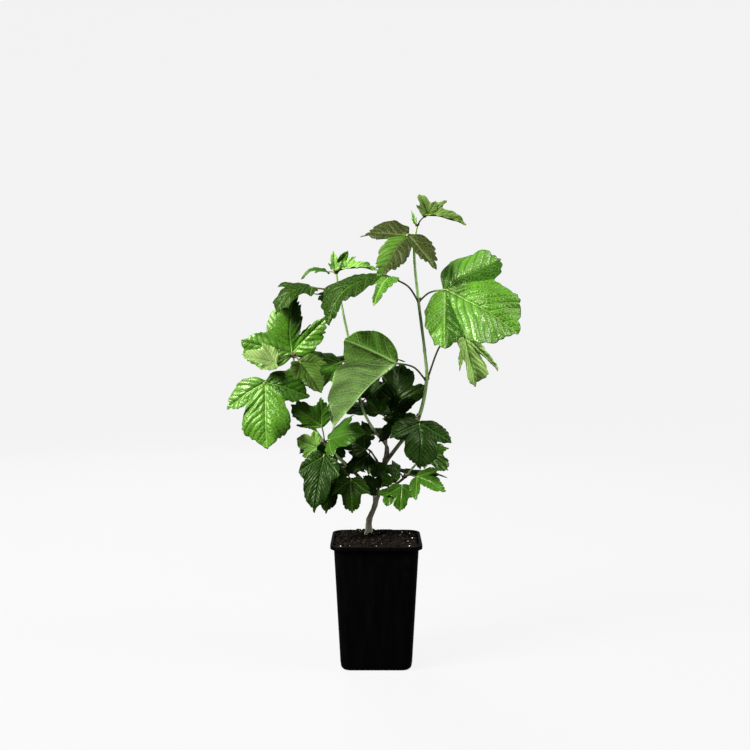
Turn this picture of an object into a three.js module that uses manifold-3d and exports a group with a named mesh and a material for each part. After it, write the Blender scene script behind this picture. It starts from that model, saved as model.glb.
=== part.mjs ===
// A young snowball viburnum in a deep square nursery pot.
// Millimetres, +Z up, origin at the middle of the pot's flat underside.
// The plant is a trunk that divides into three tall shoots and four short twigs. Opposite pairs
// of three-lobed leaves stand at the nodes of each shoot, on long thin stalks.

import * as THREE from 'three';
import Module from 'manifold-3d';

const wasm = await Module();
wasm.setup();

// ---------------------------------------------------------------- driving dimensions

const POT_HEIGHT = 125;
const RIM_WIDTH = 90;
const RIM_HEIGHT = 4.4;
const RIM_LEDGE = 3.6;
const RIM_THICKNESS = 2.8;
const RIM_BEVEL = 0.6;
const BASE_WIDTH = 70;
const POT_WALL = 1.2;
const POT_FLOOR = 1.6;
const POT_CORNER = 10;
const FOOT_ROUNDING = 4;
const FLOOR_ROUNDING = 1.5;
const DRAIN_HOLE = 9;
const DRAIN_SPREAD = 21;
const CORNER_STEPS = 4;
const HOLE_SIDES = 14;
// How far into its corner a quarter round reaches at its middle, as a share of its radius.
const MID_ROUND = 0.3;
// How far a solid that cuts runs on past what it cuts.
const OVERCUT = 1;

const SOIL_EDGE = 123;
const SOIL_TOP = 129.2;
const SOIL_ROUNDING = 1.8;
const EDGE_SLOPE = 3;
const MOUND_WIDTH = 26;
// Rings of the mound: width and corner as shares of MOUND_WIDTH, and the share of its rise.
const MOUND = [[2.1, 0.8, 0.55], [1.4, 0.65, 0.9], [1, 0.48, 1]];

const CLEARANCE = 0.3;

const TRUNK_SIDES = 10;
const TRUNK_STEPS = 18;
// The foot of the trunk swells into low shoulders up to a place counted in nodes.
const FLARE_END = 2.2;
const FLARE_DEPTH = 0.28;
const FLARE_SHOULDERS = 3;
const FLARE_TURN = 0.6;
const LIMB_SIDES = 8;
const TWIG_SIDES = 6;
const STEPS_PER_NODE = 3;
const STALK_SIDES = 3;
const STALK_STEPS = 3;
const STALK_ROOT = 1.15;
const STALK_END = 0.75;
const STALK_ARCH = 0.14;
const STALK_CREST = 0.42;
const STALK_SINK = 0.045;
const BLADE_CENTRE = 0.12;
const LEAF_THICKNESS = 0.016;
const VARIED_TWIST = 0.25;
const VARIED_LOBE = 0.12;
const NODE_COLLAR = 1.3;
const COLLAR_LENGTH = 5;
const SEEDS_PER_MASS = 100;

// ---------------------------------------------------------------- shoots

// Each shoot runs through its nodes in order, with the radius of the wood at each node. The
// nodes are placed from the middle of the soil's top, where the plant's own group stands.
// `bare` is where the bough stops and the foliage mass at its tip takes over, counted in nodes.
const SHOOTS = {
  trunk: {
    nodes: [[-8.5, 0, -10], [-8, 0, 1], [-7, 0, 14], [-1.5, 0, 28], [0, 0, 38], [2, 0, 53],
      [7, 0, 66], [9.5, 0, 75]],
    radii: [4.8, 3.9, 2.8, 2.5, 3.1, 2.2, 2.6, 2.9],
  },
  tall: {
    nodes: [[9, 0, 72], [26, 0, 94], [42, 0, 116], [50, 0, 153], [48, 0, 184], [42, 2, 232],
      [38, 0, 271], [38, 0, 295], [40, -1, 306]],
    radii: [2.1, 1.9, 1.9, 1.7, 1.5, 1.5, 1.3, 1.5, 1.0],
    bare: 4.9,
  },
  middle: {
    nodes: [[8, 1, 71], [11, 3, 86], [-4, 6, 106], [-15, 11, 129], [-23, 16, 172], [-36, 14, 234],
      [-40, 11, 260]],
    radii: [1.8, 1.5, 1.4, 1.4, 1.3, 1.1, 0.9],
    bare: 3.85,
  },
  left: {
    nodes: [[0, -2, 40], [-26, -8, 67], [-51, -12, 92], [-76, -10, 131], [-81, -7, 150], [-82, -4, 177]],
    radii: [1.9, 1.7, 1.6, 1.4, 1.2, 1.0],
    bare: 3.7,
  },
  centre: {
    nodes: [[8, 2, 72], [10, 12, 84], [10, 20, 96], [12, 26, 110]],
    radii: [1.6, 1.4, 1.3, 1.1],
    bare: 1.6,
  },
  inner: {
    nodes: [[6, -1, 64], [0, -4, 75], [-5, -6, 83]],
    radii: [1.2, 1.0, 0.9],
    bare: 0.8,
  },
  lowerLeft: {
    nodes: [[-26, -8, 67], [-38, -14, 69], [-47, -16, 78]],
    radii: [1.5, 1.3, 1.2],
    bare: 0.7,
  },
  lowerRight: {
    nodes: [[1, -1, 41], [14, -4, 47], [27, -3, 56], [40, 2, 70]],
    radii: [1.6, 1.3, 1.2, 1.0],
    bare: 0.75,
  },
};

// ---------------------------------------------------------------- leaves

// Half the outline of a blade, from its tip round to its stalk: degrees away from the midrib,
// and the distance from the stalk as a share of the blade's length.
const OUTLINES = {
  broad: [[0, 1], [9, 0.92], [23, 0.85], [34, 0.68], [40, 0.57], [48, 0.69], [58, 0.79],
    [72, 0.68], [88, 0.48], [110, 0.25], [180, 0.05]],
  full: [[0, 1], [9, 0.92], [23, 0.87], [34, 0.77], [40, 0.7], [48, 0.74], [58, 0.79],
    [72, 0.68], [88, 0.48], [110, 0.25], [180, 0.05]],
  lobed: [[0, 1], [9, 0.93], [23, 0.87], [31, 0.7], [38, 0.47], [46, 0.64], [57, 0.8],
    [72, 0.66], [88, 0.47], [110, 0.25], [180, 0.05]],
  deep: [[0, 1], [10, 0.82], [22, 0.62], [32, 0.4], [38, 0.34], [46, 0.56], [57, 0.8],
    [70, 0.64], [86, 0.46], [110, 0.26], [180, 0.05]],
  small: [[0, 1], [16, 0.86], [33, 0.58], [52, 0.72], [76, 0.52], [104, 0.3], [180, 0.06]],
  young: [[0, 1], [15, 0.72], [32, 0.42], [46, 0.55], [66, 0.36], [100, 0.2], [180, 0.06]],
};
const LARGE_LEAF = 50;
const LARGE_RINGS = [0.36, 0.7];
const SMALL_RINGS = [0.58];

// A leaf stands at a node of its shoot. Its stalk and its blade are each given as
// [length, heading, pitch], and the way its upper side looks as [heading, pitch].
// Headings run from +X towards +Y, and pitches up from level. `fold` lifts the two halves
// from the midrib, `curl` bends them down again towards their edges, `droop` bends the
// midrib from end to end, all in degrees. `sway` carries the tip sideways and `width` narrows
// the blade, both as shares of its size. `lobes` is how far the left and the right side lobe
// outgrow the usual outline, `sweep` turns them towards the tip, and `arch` lifts the stalk.
// `otherKind` gives the right half an outline of its own.
const MASSES = {
  tall_shoot_crown: {
    shoot: 'tall',
    leaves: [
      { node: 5, stalk: [40, 222, 33], blade: [93, 205, -31], face: [230, 60],
        kind: 'deep', otherKind: 'full', droop: 95, curl: 52, width: 0.9, sweep: [0.38, 0] },
      { node: 5, stalk: [30, 341, 23], blade: [88, 335, -30], face: [280, 20],
        otherKind: 'full', droop: 30, fold: 8, curl: 30, lobes: [-0.1, 0.04], sweep: [-0.26, 0.1] },
      { node: 7, stalk: [9, 216, 20], blade: [62, 230, -45], face: [265, 42],
        kind: 'deep', droop: 25, curl: 28, lobes: [0.05, -0.06], sweep: [0.02, -0.45] },
      { node: 8, stalk: [16, 15, 48], blade: [22, 160, 66], face: [300, 5],
        kind: 'small', fold: 25, droop: 35 },
      { node: 8, stalk: [16, 15, 48], blade: [40, 3, -14], face: [270, 55],
        kind: 'young', fold: 30, droop: 30 },
      { node: 8, stalk: [4, 200, 60], blade: [13, 165, 74], face: [280, 5],
        kind: 'young', fold: 30, width: 0.6 },
    ],
  },
  tall_shoot_middle_leaves: {
    shoot: 'tall', collar: 3,
    leaves: [
      { stalk: [46, 222, 24], blade: [92, 215, -40], face: [160, 36], kind: 'full', fold: 50, curl: 30,
        droop: 20, lobes: [-0.17, -0.4] },
      { stalk: [62, 24, 50], blade: [55, 20, -74], face: [300, 25], kind: 'lobed', fold: 20, droop: 15,
        width: 0.8, arch: 0.28, lobes: [0.4, 0], sweep: [0.5, 0.35] },
    ],
  },
  tall_shoot_low_leaves: {
    shoot: 'tall', collar: 2,
    leaves: [
      { stalk: [18, 271, -12], blade: [46, 268, -66], face: [290, 25], droop: 30, fold: 14, curl: 25 },
      { stalk: [12, 190, -5], blade: [36, 198, -38], face: [230, 55], droop: 30, fold: 12, width: 0.8 },
    ],
  },
  middle_shoot_crown: {
    shoot: 'middle',
    leaves: [
      { node: 4, stalk: [14, 195, -5], blade: [50, 202, -26], face: [265, 50], droop: 35, curl: 40 },
      { node: 4, stalk: [20, 60, 20], blade: [55, 66, -18], face: [66, 70], droop: 35, curl: 25 },
      { node: 5, stalk: [32, 199, 22], blade: [50, 205, -34], face: [245, 60], droop: 90, curl: 20,
        width: 0.85, lobes: [-0.5, 0.1] },
      { node: 5, stalk: [20, 108, 12], blade: [28, 118, -14], face: [118, 76], droop: 30, fold: 12 },
      { node: 6, stalk: [10, 182, 12], blade: [29, 186, -16], face: [270, 72],
        kind: 'small', droop: 100, width: 0.5 },
      { node: 6, stalk: [9, 350, 34], blade: [34, 8, -2], face: [290, 62],
        kind: 'young', fold: 25, droop: 35 },
      { node: 6, stalk: [5, 245, 52], blade: [19, 128, 80], face: [275, 5],
        kind: 'young', fold: 25, lobes: [-0.15, 0] },
      { node: 6, stalk: [7, 95, 48], blade: [23, 35, 52], face: [280, 25], kind: 'young', fold: 30 },
    ],
  },
  middle_shoot_low_leaves: {
    shoot: 'middle', collar: 3,
    leaves: [
      { stalk: [11, 36, 40], blade: [31, 63, 58], face: [250, 30], kind: 'small', fold: 20 },
      { stalk: [14, 220, 38], blade: [25, 180, 50], face: [275, 25], kind: 'small', fold: 15 },
    ],
  },
  left_shoot_crown: {
    shoot: 'left',
    leaves: [
      { node: 4, stalk: [32, 211, 6], blade: [64, 279, -75], face: [262, 25],
        kind: 'lobed', droop: 20, curl: 30, lobes: [-0.2, -0.12], sweep: [-0.35, -0.1] },
      { node: 4, stalk: [25, 85, 15], blade: [48, 82, 4], face: [80, 80], droop: 35, curl: 30 },
      { node: 5, stalk: [7, 110, 40], blade: [56, 163, 76], face: [262, 8],
        otherKind: 'deep', fold: 10, curl: 15, sway: -0.3, lobes: [0.24, 0.12], sweep: [-0.16, -0.03] },
      { node: 5, stalk: [25, 228, -10], blade: [33, 193, 12], face: [265, 45], kind: 'small', fold: 15 },
      { node: 5, stalk: [14, 90, 5], blade: [42, 96, 4], face: [95, 78], droop: 40, curl: 25 },
      { node: 5, stalk: [13, 305, -20], blade: [37, 335, -52], face: [290, 30], kind: 'small', fold: 22 },
      { node: 5, stalk: [8, 335, -24], blade: [14, 8, 2], face: [270, 60], kind: 'young', fold: 15 },
    ],
  },
  left_shoot_low_leaves: {
    shoot: 'left', collar: 2,
    leaves: [
      { stalk: [19, 245, 70], blade: [36, 186, 36], face: [265, 15], kind: 'small', fold: 10,
        lobes: [-0.1, 0.1], sweep: [0.5, 0] },
      { stalk: [9, 303, 27], blade: [43, 325, 12], face: [262, 44], droop: 35, curl: 35, lobes: [0, -0.4] },
      { stalk: [12, 228, -12], blade: [21, 186, 24], face: [275, 5], fold: 8 },
      { stalk: [12, 84, 0], blade: [43, 84, -38], face: [90, 48], droop: 35, curl: 25 },
    ],
  },
  lower_left_leaves: {
    shoot: 'lowerLeft',
    leaves: [
      { node: 2, stalk: [12, 250, 20], blade: [56, 245, -69], face: [255, 25],
        kind: 'full', droop: 30, fold: 12, curl: 35, width: 0.62, lobes: [-0.25, -0.2] },
      { node: 2, stalk: [10, 320, -72], blade: [44, 235, -79], face: [275, 8],
        droop: 25, fold: 10, width: 0.58 },
      { node: 1, stalk: [20, 322, -34], blade: [32, 278, -72], face: [275, 15],
        kind: 'small', droop: 25, curl: 20 },
      { node: 1, stalk: [18, 100, 0], blade: [46, 95, -30], face: [95, 55], droop: 35, curl: 25 },
    ],
  },
  inner_leaves: {
    shoot: 'inner',
    leaves: [
      { node: 2, stalk: [9, 225, 20], blade: [26, 200, 35], face: [275, 25], kind: 'small', fold: 12 },
      { node: 2, stalk: [9, 250, -20], blade: [27, 200, -36], face: [260, 30], kind: 'small', droop: 25 },
      { node: 1, stalk: [7, 280, -20], blade: [16, 235, -67], face: [275, 20], kind: 'small', fold: 10 },
    ],
  },
  centre_leaves: {
    shoot: 'centre',
    leaves: [
      { node: 3, stalk: [22, 40, 62], blade: [44, 75, 60], face: [262, 15], fold: 8, droop: 20 },
      { node: 3, stalk: [14, 300, 50], blade: [28, 340, 25], face: [275, 35], kind: 'small', fold: 15 },
      { node: 3, stalk: [14, 200, 45], blade: [22, 180, 60], face: [265, 20], kind: 'small', fold: 15 },
      { node: 3, stalk: [12, 300, 15], blade: [24, 352, 6], face: [265, 50], kind: 'small', fold: 12 },
      { node: 2, stalk: [14, 190, 5], blade: [30, 185, 15], face: [265, 55],
        kind: 'small', fold: 12, width: 0.8 },
      { node: 2, stalk: [18, 75, 10], blade: [58, 72, -10], face: [72, 75], droop: 35, curl: 25 },
      { node: 3, stalk: [18, 125, 25], blade: [50, 122, 8], face: [120, 75], droop: 35, curl: 25 },
    ],
  },
  lower_right_leaves: {
    shoot: 'lowerRight',
    leaves: [
      { node: 3, stalk: [18, 35, 45], blade: [30, 333, -39], face: [280, 40], kind: 'small', droop: 25 },
      { node: 2, stalk: [18, 320, 10], blade: [34, 326, -20], face: [275, 40],
        kind: 'deep', droop: 30, curl: 25 },
      { node: 2, stalk: [18, 75, 15], blade: [50, 62, -15], face: [62, 70], droop: 35, curl: 25 },
      { node: 2, stalk: [8, 215, 50], blade: [20, 200, 20], face: [265, 40], kind: 'small' },
      { node: 1, stalk: [16, 315, 12], blade: [25, 255, -70], face: [270, 20], kind: 'small', droop: 20 },
      { node: 1, stalk: [9, 270, -10], blade: [18, 250, -50], face: [270, 30], kind: 'small', droop: 20 },
      { node: 1, stalk: [12, 80, 15], blade: [20, 130, 20], face: [250, 65], kind: 'small' },
      { node: 1, stalk: [16, 215, 0], blade: [20, 205, 42], face: [270, 30], kind: 'small', fold: 12 },
    ],
  },
};

// ---------------------------------------------------------------- small tools

function direction([heading, pitch]) {
  const azimuth = THREE.MathUtils.degToRad(heading);
  const rise = THREE.MathUtils.degToRad(pitch);
  return new THREE.Vector3(
    Math.cos(rise) * Math.cos(azimuth), Math.cos(rise) * Math.sin(azimuth), Math.sin(rise));
}

function curveThrough(points) {
  return new THREE.CatmullRomCurve3(points.map((p) => new THREE.Vector3(...p)), false, 'catmullrom', 0.5);
}

// A closed skin over rings of equal count, with a fan of faces to a point at each end.
function loft(rings, firstCentre, lastCentre) {
  const count = rings[0].length;
  const corners = [firstCentre, ...rings.flat(), lastCentre];
  const last = corners.length - 1;
  const faces = [];
  for (let i = 0; i < count; i += 1) {
    const next = (i + 1) % count;
    faces.push(0, 1 + next, 1 + i);
    for (let ring = 0; ring < rings.length - 1; ring += 1) {
      const low = 1 + ring * count;
      const high = low + count;
      faces.push(low + i, low + next, high + next, low + i, high + next, high + i);
    }
    faces.push(last, last - count + i, last - count + next);
  }
  return closedGeometry(corners, faces);
}

// An indexed geometry whose faces point out, whichever way round its rings were given.
function closedGeometry(corners, faces) {
  let volume = 0;
  for (let i = 0; i < faces.length; i += 3) {
    const [a, b, c] = [corners[faces[i]], corners[faces[i + 1]], corners[faces[i + 2]]];
    volume += a.dot(new THREE.Vector3().crossVectors(b, c));
  }
  if (volume < 0) faces.reverse();
  const geometry = new THREE.BufferGeometry().setFromPoints(corners);
  geometry.setIndex(faces);
  return geometry;
}

function solidOf(geometry) {
  const vertProperties = new Float32Array(geometry.attributes.position.array);
  const triVerts = new Uint32Array(geometry.index.array);
  return new wasm.Manifold(new wasm.Mesh({ numProp: 3, vertProperties, triVerts }));
}

function geometryOf(solid) {
  const { vertProperties, triVerts } = solid.getMesh();
  const geometry = new THREE.BufferGeometry();
  geometry.setAttribute('position', new THREE.BufferAttribute(vertProperties, 3));
  geometry.setIndex(new THREE.BufferAttribute(triVerts, 1));
  return geometry;
}

// Repeatable numbers from 0 to 1.
function seededNumbers(seed) {
  let state = seed;
  return () => {
    state = (state + 0x6d2b79f5) | 0;
    let mixed = Math.imul(state ^ (state >>> 15), 1 | state);
    mixed = (mixed + Math.imul(mixed ^ (mixed >>> 7), 61 | mixed)) ^ mixed;
    return ((mixed ^ (mixed >>> 14)) >>> 0) / 2 ** 32;
  };
}

// ---------------------------------------------------------------- limbs

// A round tube along part of a curve. `radius` gives its size at each share of the curve.
function tube(curve, from, to, radius, sides, steps) {
  const rings = [];
  for (let step = 0; step <= steps; step += 1) {
    const share = from + (to - from) * step / steps;
    const centre = curve.getPoint(share);
    const along = curve.getTangent(share);
    const side = new THREE.Vector3(0, 1, 0).cross(along).normalize();
    const front = new THREE.Vector3().crossVectors(along, side);
    const ring = [];
    for (let i = 0; i < sides; i += 1) {
      const angle = 2 * Math.PI * i / sides;
      const reach = radius(share, angle);
      ring.push(centre.clone().addScaledVector(side, reach * Math.cos(angle))
        .addScaledVector(front, reach * Math.sin(angle)));
    }
    rings.push(ring);
  }
  return solidOf(loft(rings, curve.getPoint(from), curve.getPoint(to)));
}

function shootCurve(shoot) {
  const curve = curveThrough(shoot.nodes);
  const sizes = curveThrough(shoot.radii.map((r) => [r, 0, 0]));
  return { curve, radius: (share) => sizes.getPoint(share).x, spans: shoot.nodes.length - 1 };
}

// A stretch of a shoot between two places counted in nodes, `grown` larger all round.
function stretch(shoot, from, to, sides, grown = 0) {
  const { curve, radius, spans } = shootCurve(shoot);
  const steps = STEPS_PER_NODE * Math.max(1, Math.round(to - from));
  return tube(curve, from / spans, to / spans, (share) => radius(share) + grown, sides, steps);
}

function nodePoint(shoot, node) {
  const { curve, spans } = shootCurve(shoot);
  return curve.getPoint(node / spans);
}

// The share of a node-to-node span that a small distance takes up at one place on a shoot.
function nodesAcross(shoot, node, distance) {
  const small = 0.01;
  return distance * small / nodePoint(shoot, node).distanceTo(nodePoint(shoot, node - small));
}

// The trunk tapers from its shoulders to its fork, and is cut flat where it meets the soil.
function trunkSolid(grown = 0) {
  const { curve, radius, spans } = shootCurve(SHOOTS.trunk);
  const size = (share, angle) => {
    const flare = Math.max(0, 1 - share * spans / FLARE_END);
    const shoulder = Math.cos(FLARE_SHOULDERS * angle + FLARE_TURN);
    return radius(share) * (1 + FLARE_DEPTH * flare * shoulder) + grown;
  };
  return tube(curve, 0, 1, size, TRUNK_SIDES, TRUNK_STEPS).trimByPlane([0, 0, 1], 0);
}

// A bough is its shoot up to where its foliage begins, cut clear of what it springs from.
function boughSolid(shoot, parents) {
  let bough = stretch(shoot, 0, shoot.bare, LIMB_SIDES);
  for (const parent of parents) bough = bough.subtract(parent);
  return bough.decompose().sort((a, b) => b.volume() - a.volume())[0];
}

// ---------------------------------------------------------------- one leaf

// Where the blade's flat outline ends up: `u` runs along the midrib and `v` across it.
// Across, each half rises by the fold and bends down by the curl. Along, the midrib is an
// arc whose ends lie on the blade's straight line. `lift` is a distance out of the surface.
function bladePoint(leaf, u, v, lift) {
  const side = Math.sign(v);
  const out = Math.abs(v);
  const curl = leaf.curl / leaf.length;
  const lean = leaf.fold - curl * out;
  const across = side * (Math.sin(leaf.fold) - Math.sin(lean)) / curl - side * Math.sin(lean) * lift;
  const up = (Math.cos(lean) - Math.cos(leaf.fold)) / curl + Math.cos(lean) * lift;
  const turn = leaf.twist * u / leaf.length;
  const y = across * Math.cos(turn) - up * Math.sin(turn);
  const z = across * Math.sin(turn) + up * Math.cos(turn);
  const bend = leaf.droop / leaf.length;
  const dip = bend * u - leaf.droop / 2;
  const shifted = y + leaf.sway * u * u / leaf.length;
  const x = (Math.sin(dip) + Math.sin(leaf.droop / 2)) / bend + z * Math.sin(dip);
  const rise = (Math.cos(dip) - Math.cos(leaf.droop / 2)) / bend + z * Math.cos(dip);
  return leaf.base.clone().addScaledVector(leaf.along, x).addScaledVector(leaf.across, shifted)
    .addScaledVector(leaf.up, rise);
}

// The whole outline, both halves, each leaf a little different in its side lobes.
function outlineOf(leaf) {
  const shaped = (half) => OUTLINES[leaf.kinds[half]].map(([degrees, reach]) => {
    const angle = THREE.MathUtils.degToRad(degrees);
    const lobed = Math.sin(Math.min(angle, Math.PI / 2)) ** 2;
    const turned = angle * (1 - leaf.sweep[half] * Math.sin(angle) ** 2);
    return [half === 0 ? turned : -turned, reach * (1 + leaf.lobes[half] * lobed)];
  });
  return [...shaped(0), ...shaped(1).slice(1, -1).reverse()];
}

function bladeSolid(leaf) {
  const outline = outlineOf(leaf);
  const shares = leaf.length < LARGE_LEAF ? SMALL_RINGS : LARGE_RINGS;
  const thick = leaf.length * LEAF_THICKNESS / 2;
  const centre = BLADE_CENTRE * leaf.length;
  const ring = (share, lift) => outline.map(([angle, reach]) => {
    const out = reach * leaf.length;
    const u = centre + share * (out * Math.cos(angle) - centre);
    return bladePoint(leaf, u, share * out * leaf.width * Math.sin(angle), lift);
  });
  const rings = [
    ...shares.map((share) => ring(share, thick)),
    ring(1, 0),
    ...[...shares].reverse().map((share) => ring(share, -thick)),
  ];
  return solidOf(loft(rings, bladePoint(leaf, centre, 0, thick), bladePoint(leaf, centre, 0, -thick)));
}

// The stalk arches from the wood to the blade and runs a little way on under the midrib.
function stalkSolid(leaf) {
  const reach = leaf.base.distanceTo(leaf.root);
  const middle = leaf.root.clone().lerp(leaf.base, STALK_CREST);
  middle.z += leaf.arch * reach;
  const end = bladePoint(leaf, leaf.length * STALK_SINK, 0, -leaf.length * LEAF_THICKNESS / 4);
  const curve = new THREE.CatmullRomCurve3([leaf.root, middle, leaf.base, end], false, 'catmullrom', 0.5);
  const radius = (share) => STALK_ROOT + (STALK_END - STALK_ROOT) * share;
  return tube(curve, 0, 1, radius, STALK_SIDES, STALK_STEPS);
}

// A leaf's own sizes and directions, from its line in the list and a seed of its own.
function leafFrom(spec, root, seed) {
  const random = seededNumbers(seed);
  const along = direction(spec.blade.slice(1));
  const up = direction(spec.face);
  up.addScaledVector(along, -up.dot(along)).normalize();
  const least = 0.02;
  const angle = (value) => THREE.MathUtils.degToRad(value ?? 0) + least;
  const lobes = spec.lobes ?? [0, 0];
  return {
    root,
    base: root.clone().addScaledVector(direction(spec.stalk.slice(1)), spec.stalk[0]),
    length: spec.blade[0],
    kinds: [spec.kind ?? 'broad', spec.otherKind ?? spec.kind ?? 'broad'],
    along,
    up,
    across: new THREE.Vector3().crossVectors(up, along),
    fold: angle(spec.fold),
    curl: angle(spec.curl),
    droop: angle(spec.droop),
    arch: spec.arch ?? STALK_ARCH,
    sweep: spec.sweep ?? [0, 0],
    sway: spec.sway ?? 0,
    width: spec.width ?? 1,
    twist: (random() - 0.5) * VARIED_TWIST,
    lobes: lobes.map((lobe) => lobe + (random() - 0.5) * VARIED_LOBE),
  };
}

// ---------------------------------------------------------------- a mass of foliage

// One stem, or a swollen ring round its bough's node, with every leaf's stalk sunk into it.
function massSolid(spec, seed) {
  const shoot = SHOOTS[spec.shoot];
  const ringed = spec.collar !== undefined;
  const lastNode = shoot.nodes.length - 1;
  const half = ringed ? nodesAcross(shoot, spec.collar, COLLAR_LENGTH / 2) : 0;
  const start = ringed ? 0 : shoot.bare + nodesAcross(shoot, shoot.bare, CLEARANCE);
  let mass = ringed
    ? stretch(shoot, spec.collar - half, spec.collar + half, LIMB_SIDES, NODE_COLLAR)
    : stretch(shoot, start, lastNode, TWIG_SIDES);
  spec.leaves.forEach((line, index) => {
    const root = nodePoint(shoot, line.node ?? spec.collar);
    const leaf = leafFrom(line, root, seed + index);
    mass = mass.add(stalkSolid(leaf)).add(bladeSolid(leaf));
  });
  if (ringed) {
    const [below, above] = [spec.collar - 3 * half, spec.collar + 3 * half];
    mass = mass.subtract(stretch(shoot, below, above, LIMB_SIDES, CLEARANCE));
  }
  return mass;
}

// ---------------------------------------------------------------- pot and soil

// A square section with round corners, as a ring of points at one height.
function squareRing(width, corner, z) {
  const ring = [];
  const straight = width / 2 - corner;
  for (let quarter = 0; quarter < 4; quarter += 1) {
    const turn = quarter * Math.PI / 2;
    const [sx, sy] = [Math.sign(Math.cos(turn + Math.PI / 4)), Math.sign(Math.sin(turn + Math.PI / 4))];
    for (let i = 0; i <= CORNER_STEPS; i += 1) {
      const angle = turn + i * Math.PI / 2 / CORNER_STEPS;
      ring.push(new THREE.Vector3(
        sx * straight + corner * Math.cos(angle), sy * straight + corner * Math.sin(angle), z));
    }
  }
  return ring;
}

function squareLoft(levels) {
  const rings = levels.map(([width, corner, z]) => squareRing(width, corner, z));
  const [first, last] = [levels[0][2], levels.at(-1)[2]];
  return solidOf(loft(rings, new THREE.Vector3(0, 0, first), new THREE.Vector3(0, 0, last)));
}

// The width of the tapering body, outside, at a height above the underside.
function bodyWidth(z) {
  const top = RIM_WIDTH - 2 * RIM_LEDGE;
  return BASE_WIDTH + (top - BASE_WIDTH) * z / (POT_HEIGHT - RIM_HEIGHT);
}

function potSolid() {
  const ledge = POT_HEIGHT - RIM_HEIGHT;
  const rimCorner = POT_CORNER + RIM_LEDGE;
  const outside = squareLoft([
    [BASE_WIDTH - 2 * FOOT_ROUNDING, POT_CORNER - FOOT_ROUNDING, 0],
    [BASE_WIDTH - 2 * MID_ROUND * FOOT_ROUNDING, POT_CORNER - MID_ROUND * FOOT_ROUNDING,
      MID_ROUND * FOOT_ROUNDING],
    [bodyWidth(FOOT_ROUNDING), POT_CORNER, FOOT_ROUNDING],
    [bodyWidth(ledge), POT_CORNER, ledge],
    [RIM_WIDTH - 2 * RIM_BEVEL, rimCorner - RIM_BEVEL, ledge + MID_ROUND * RIM_BEVEL],
    [RIM_WIDTH, rimCorner, ledge + RIM_BEVEL],
    [RIM_WIDTH, rimCorner, POT_HEIGHT - RIM_BEVEL],
    [RIM_WIDTH - 2 * RIM_BEVEL, rimCorner - RIM_BEVEL, POT_HEIGHT],
  ]);
  const floorWidth = bodyWidth(POT_FLOOR) - 2 * POT_WALL;
  const wallCorner = POT_CORNER - POT_WALL;
  const inside = squareLoft([
    [floorWidth - 2 * FLOOR_ROUNDING, wallCorner - FLOOR_ROUNDING, POT_FLOOR],
    [floorWidth, wallCorner, POT_FLOOR + FLOOR_ROUNDING],
    [bodyWidth(ledge) - 2 * POT_WALL, wallCorner, ledge],
    [RIM_WIDTH - 2 * RIM_THICKNESS, POT_CORNER, POT_HEIGHT + OVERCUT],
  ]);
  let pot = outside.subtract(inside);
  for (const sideways of [-DRAIN_SPREAD, DRAIN_SPREAD]) {
    for (const away of [-DRAIN_SPREAD, DRAIN_SPREAD]) pot = pot.subtract(drainHole(sideways, away));
  }
  return pot;
}

function drainHole(x, y) {
  const [low, high] = [-OVERCUT, POT_FLOOR + OVERCUT];
  const ring = (z) => Array.from({ length: HOLE_SIDES }, (_, i) => {
    const angle = 2 * Math.PI * i / HOLE_SIDES;
    return new THREE.Vector3(
      x + DRAIN_HOLE / 2 * Math.cos(angle), y + DRAIN_HOLE / 2 * Math.sin(angle), z);
  });
  const rings = [ring(low), ring(high)];
  return solidOf(loft(rings, new THREE.Vector3(x, y, low), new THREE.Vector3(x, y, high)));
}

// The soil fills the pot and rises in a low mound round the foot of the trunk.
function soilSolid() {
  const slack = 2 * (POT_WALL + CLEARANCE);
  const corner = POT_CORNER - POT_WALL - CLEARANCE;
  const floor = POT_FLOOR + CLEARANCE;
  const shelf = SOIL_EDGE - EDGE_SLOPE;
  return squareLoft([
    [bodyWidth(floor) - slack - 2 * SOIL_ROUNDING, corner - SOIL_ROUNDING, floor],
    [bodyWidth(floor) - slack, corner, floor + SOIL_ROUNDING],
    [bodyWidth(shelf) - slack, corner, shelf],
    [bodyWidth(shelf) - slack - EDGE_SLOPE, corner, SOIL_EDGE],
    ...MOUND.map(([width, round, rise]) => [
      width * MOUND_WIDTH, round * MOUND_WIDTH, SOIL_EDGE + rise * (SOIL_TOP - SOIL_EDGE)]),
  ]);
}

// ---------------------------------------------------------------- the plant

const plasticMaterial = new THREE.MeshStandardMaterial({ color: 0x1b1c1b, roughness: 0.55, metalness: 0 });
const soilMaterial = new THREE.MeshStandardMaterial({ color: 0x2c221b, roughness: 1, metalness: 0 });
const barkMaterial = new THREE.MeshStandardMaterial({ color: 0x8d8468, roughness: 0.85, metalness: 0 });
const shootMaterial = new THREE.MeshStandardMaterial({ color: 0x7f9a52, roughness: 0.7, metalness: 0 });
const leafMaterial = new THREE.MeshStandardMaterial({ color: 0x3f7a26, roughness: 0.5, metalness: 0 });

const group = new THREE.Group();
const container = new THREE.Group();
const plant = new THREE.Group();
plant.position.z = SOIL_TOP + CLEARANCE;
group.add(container, plant);

function place(parent, name, solid, material) {
  const mesh = new THREE.Mesh(geometryOf(solid), material.clone());
  mesh.name = name;
  parent.add(mesh);
}

place(container, 'pot', potSolid(), plasticMaterial);
place(container, 'potting_soil', soilSolid(), soilMaterial);
place(plant, 'trunk', trunkSolid(), barkMaterial);

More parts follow.
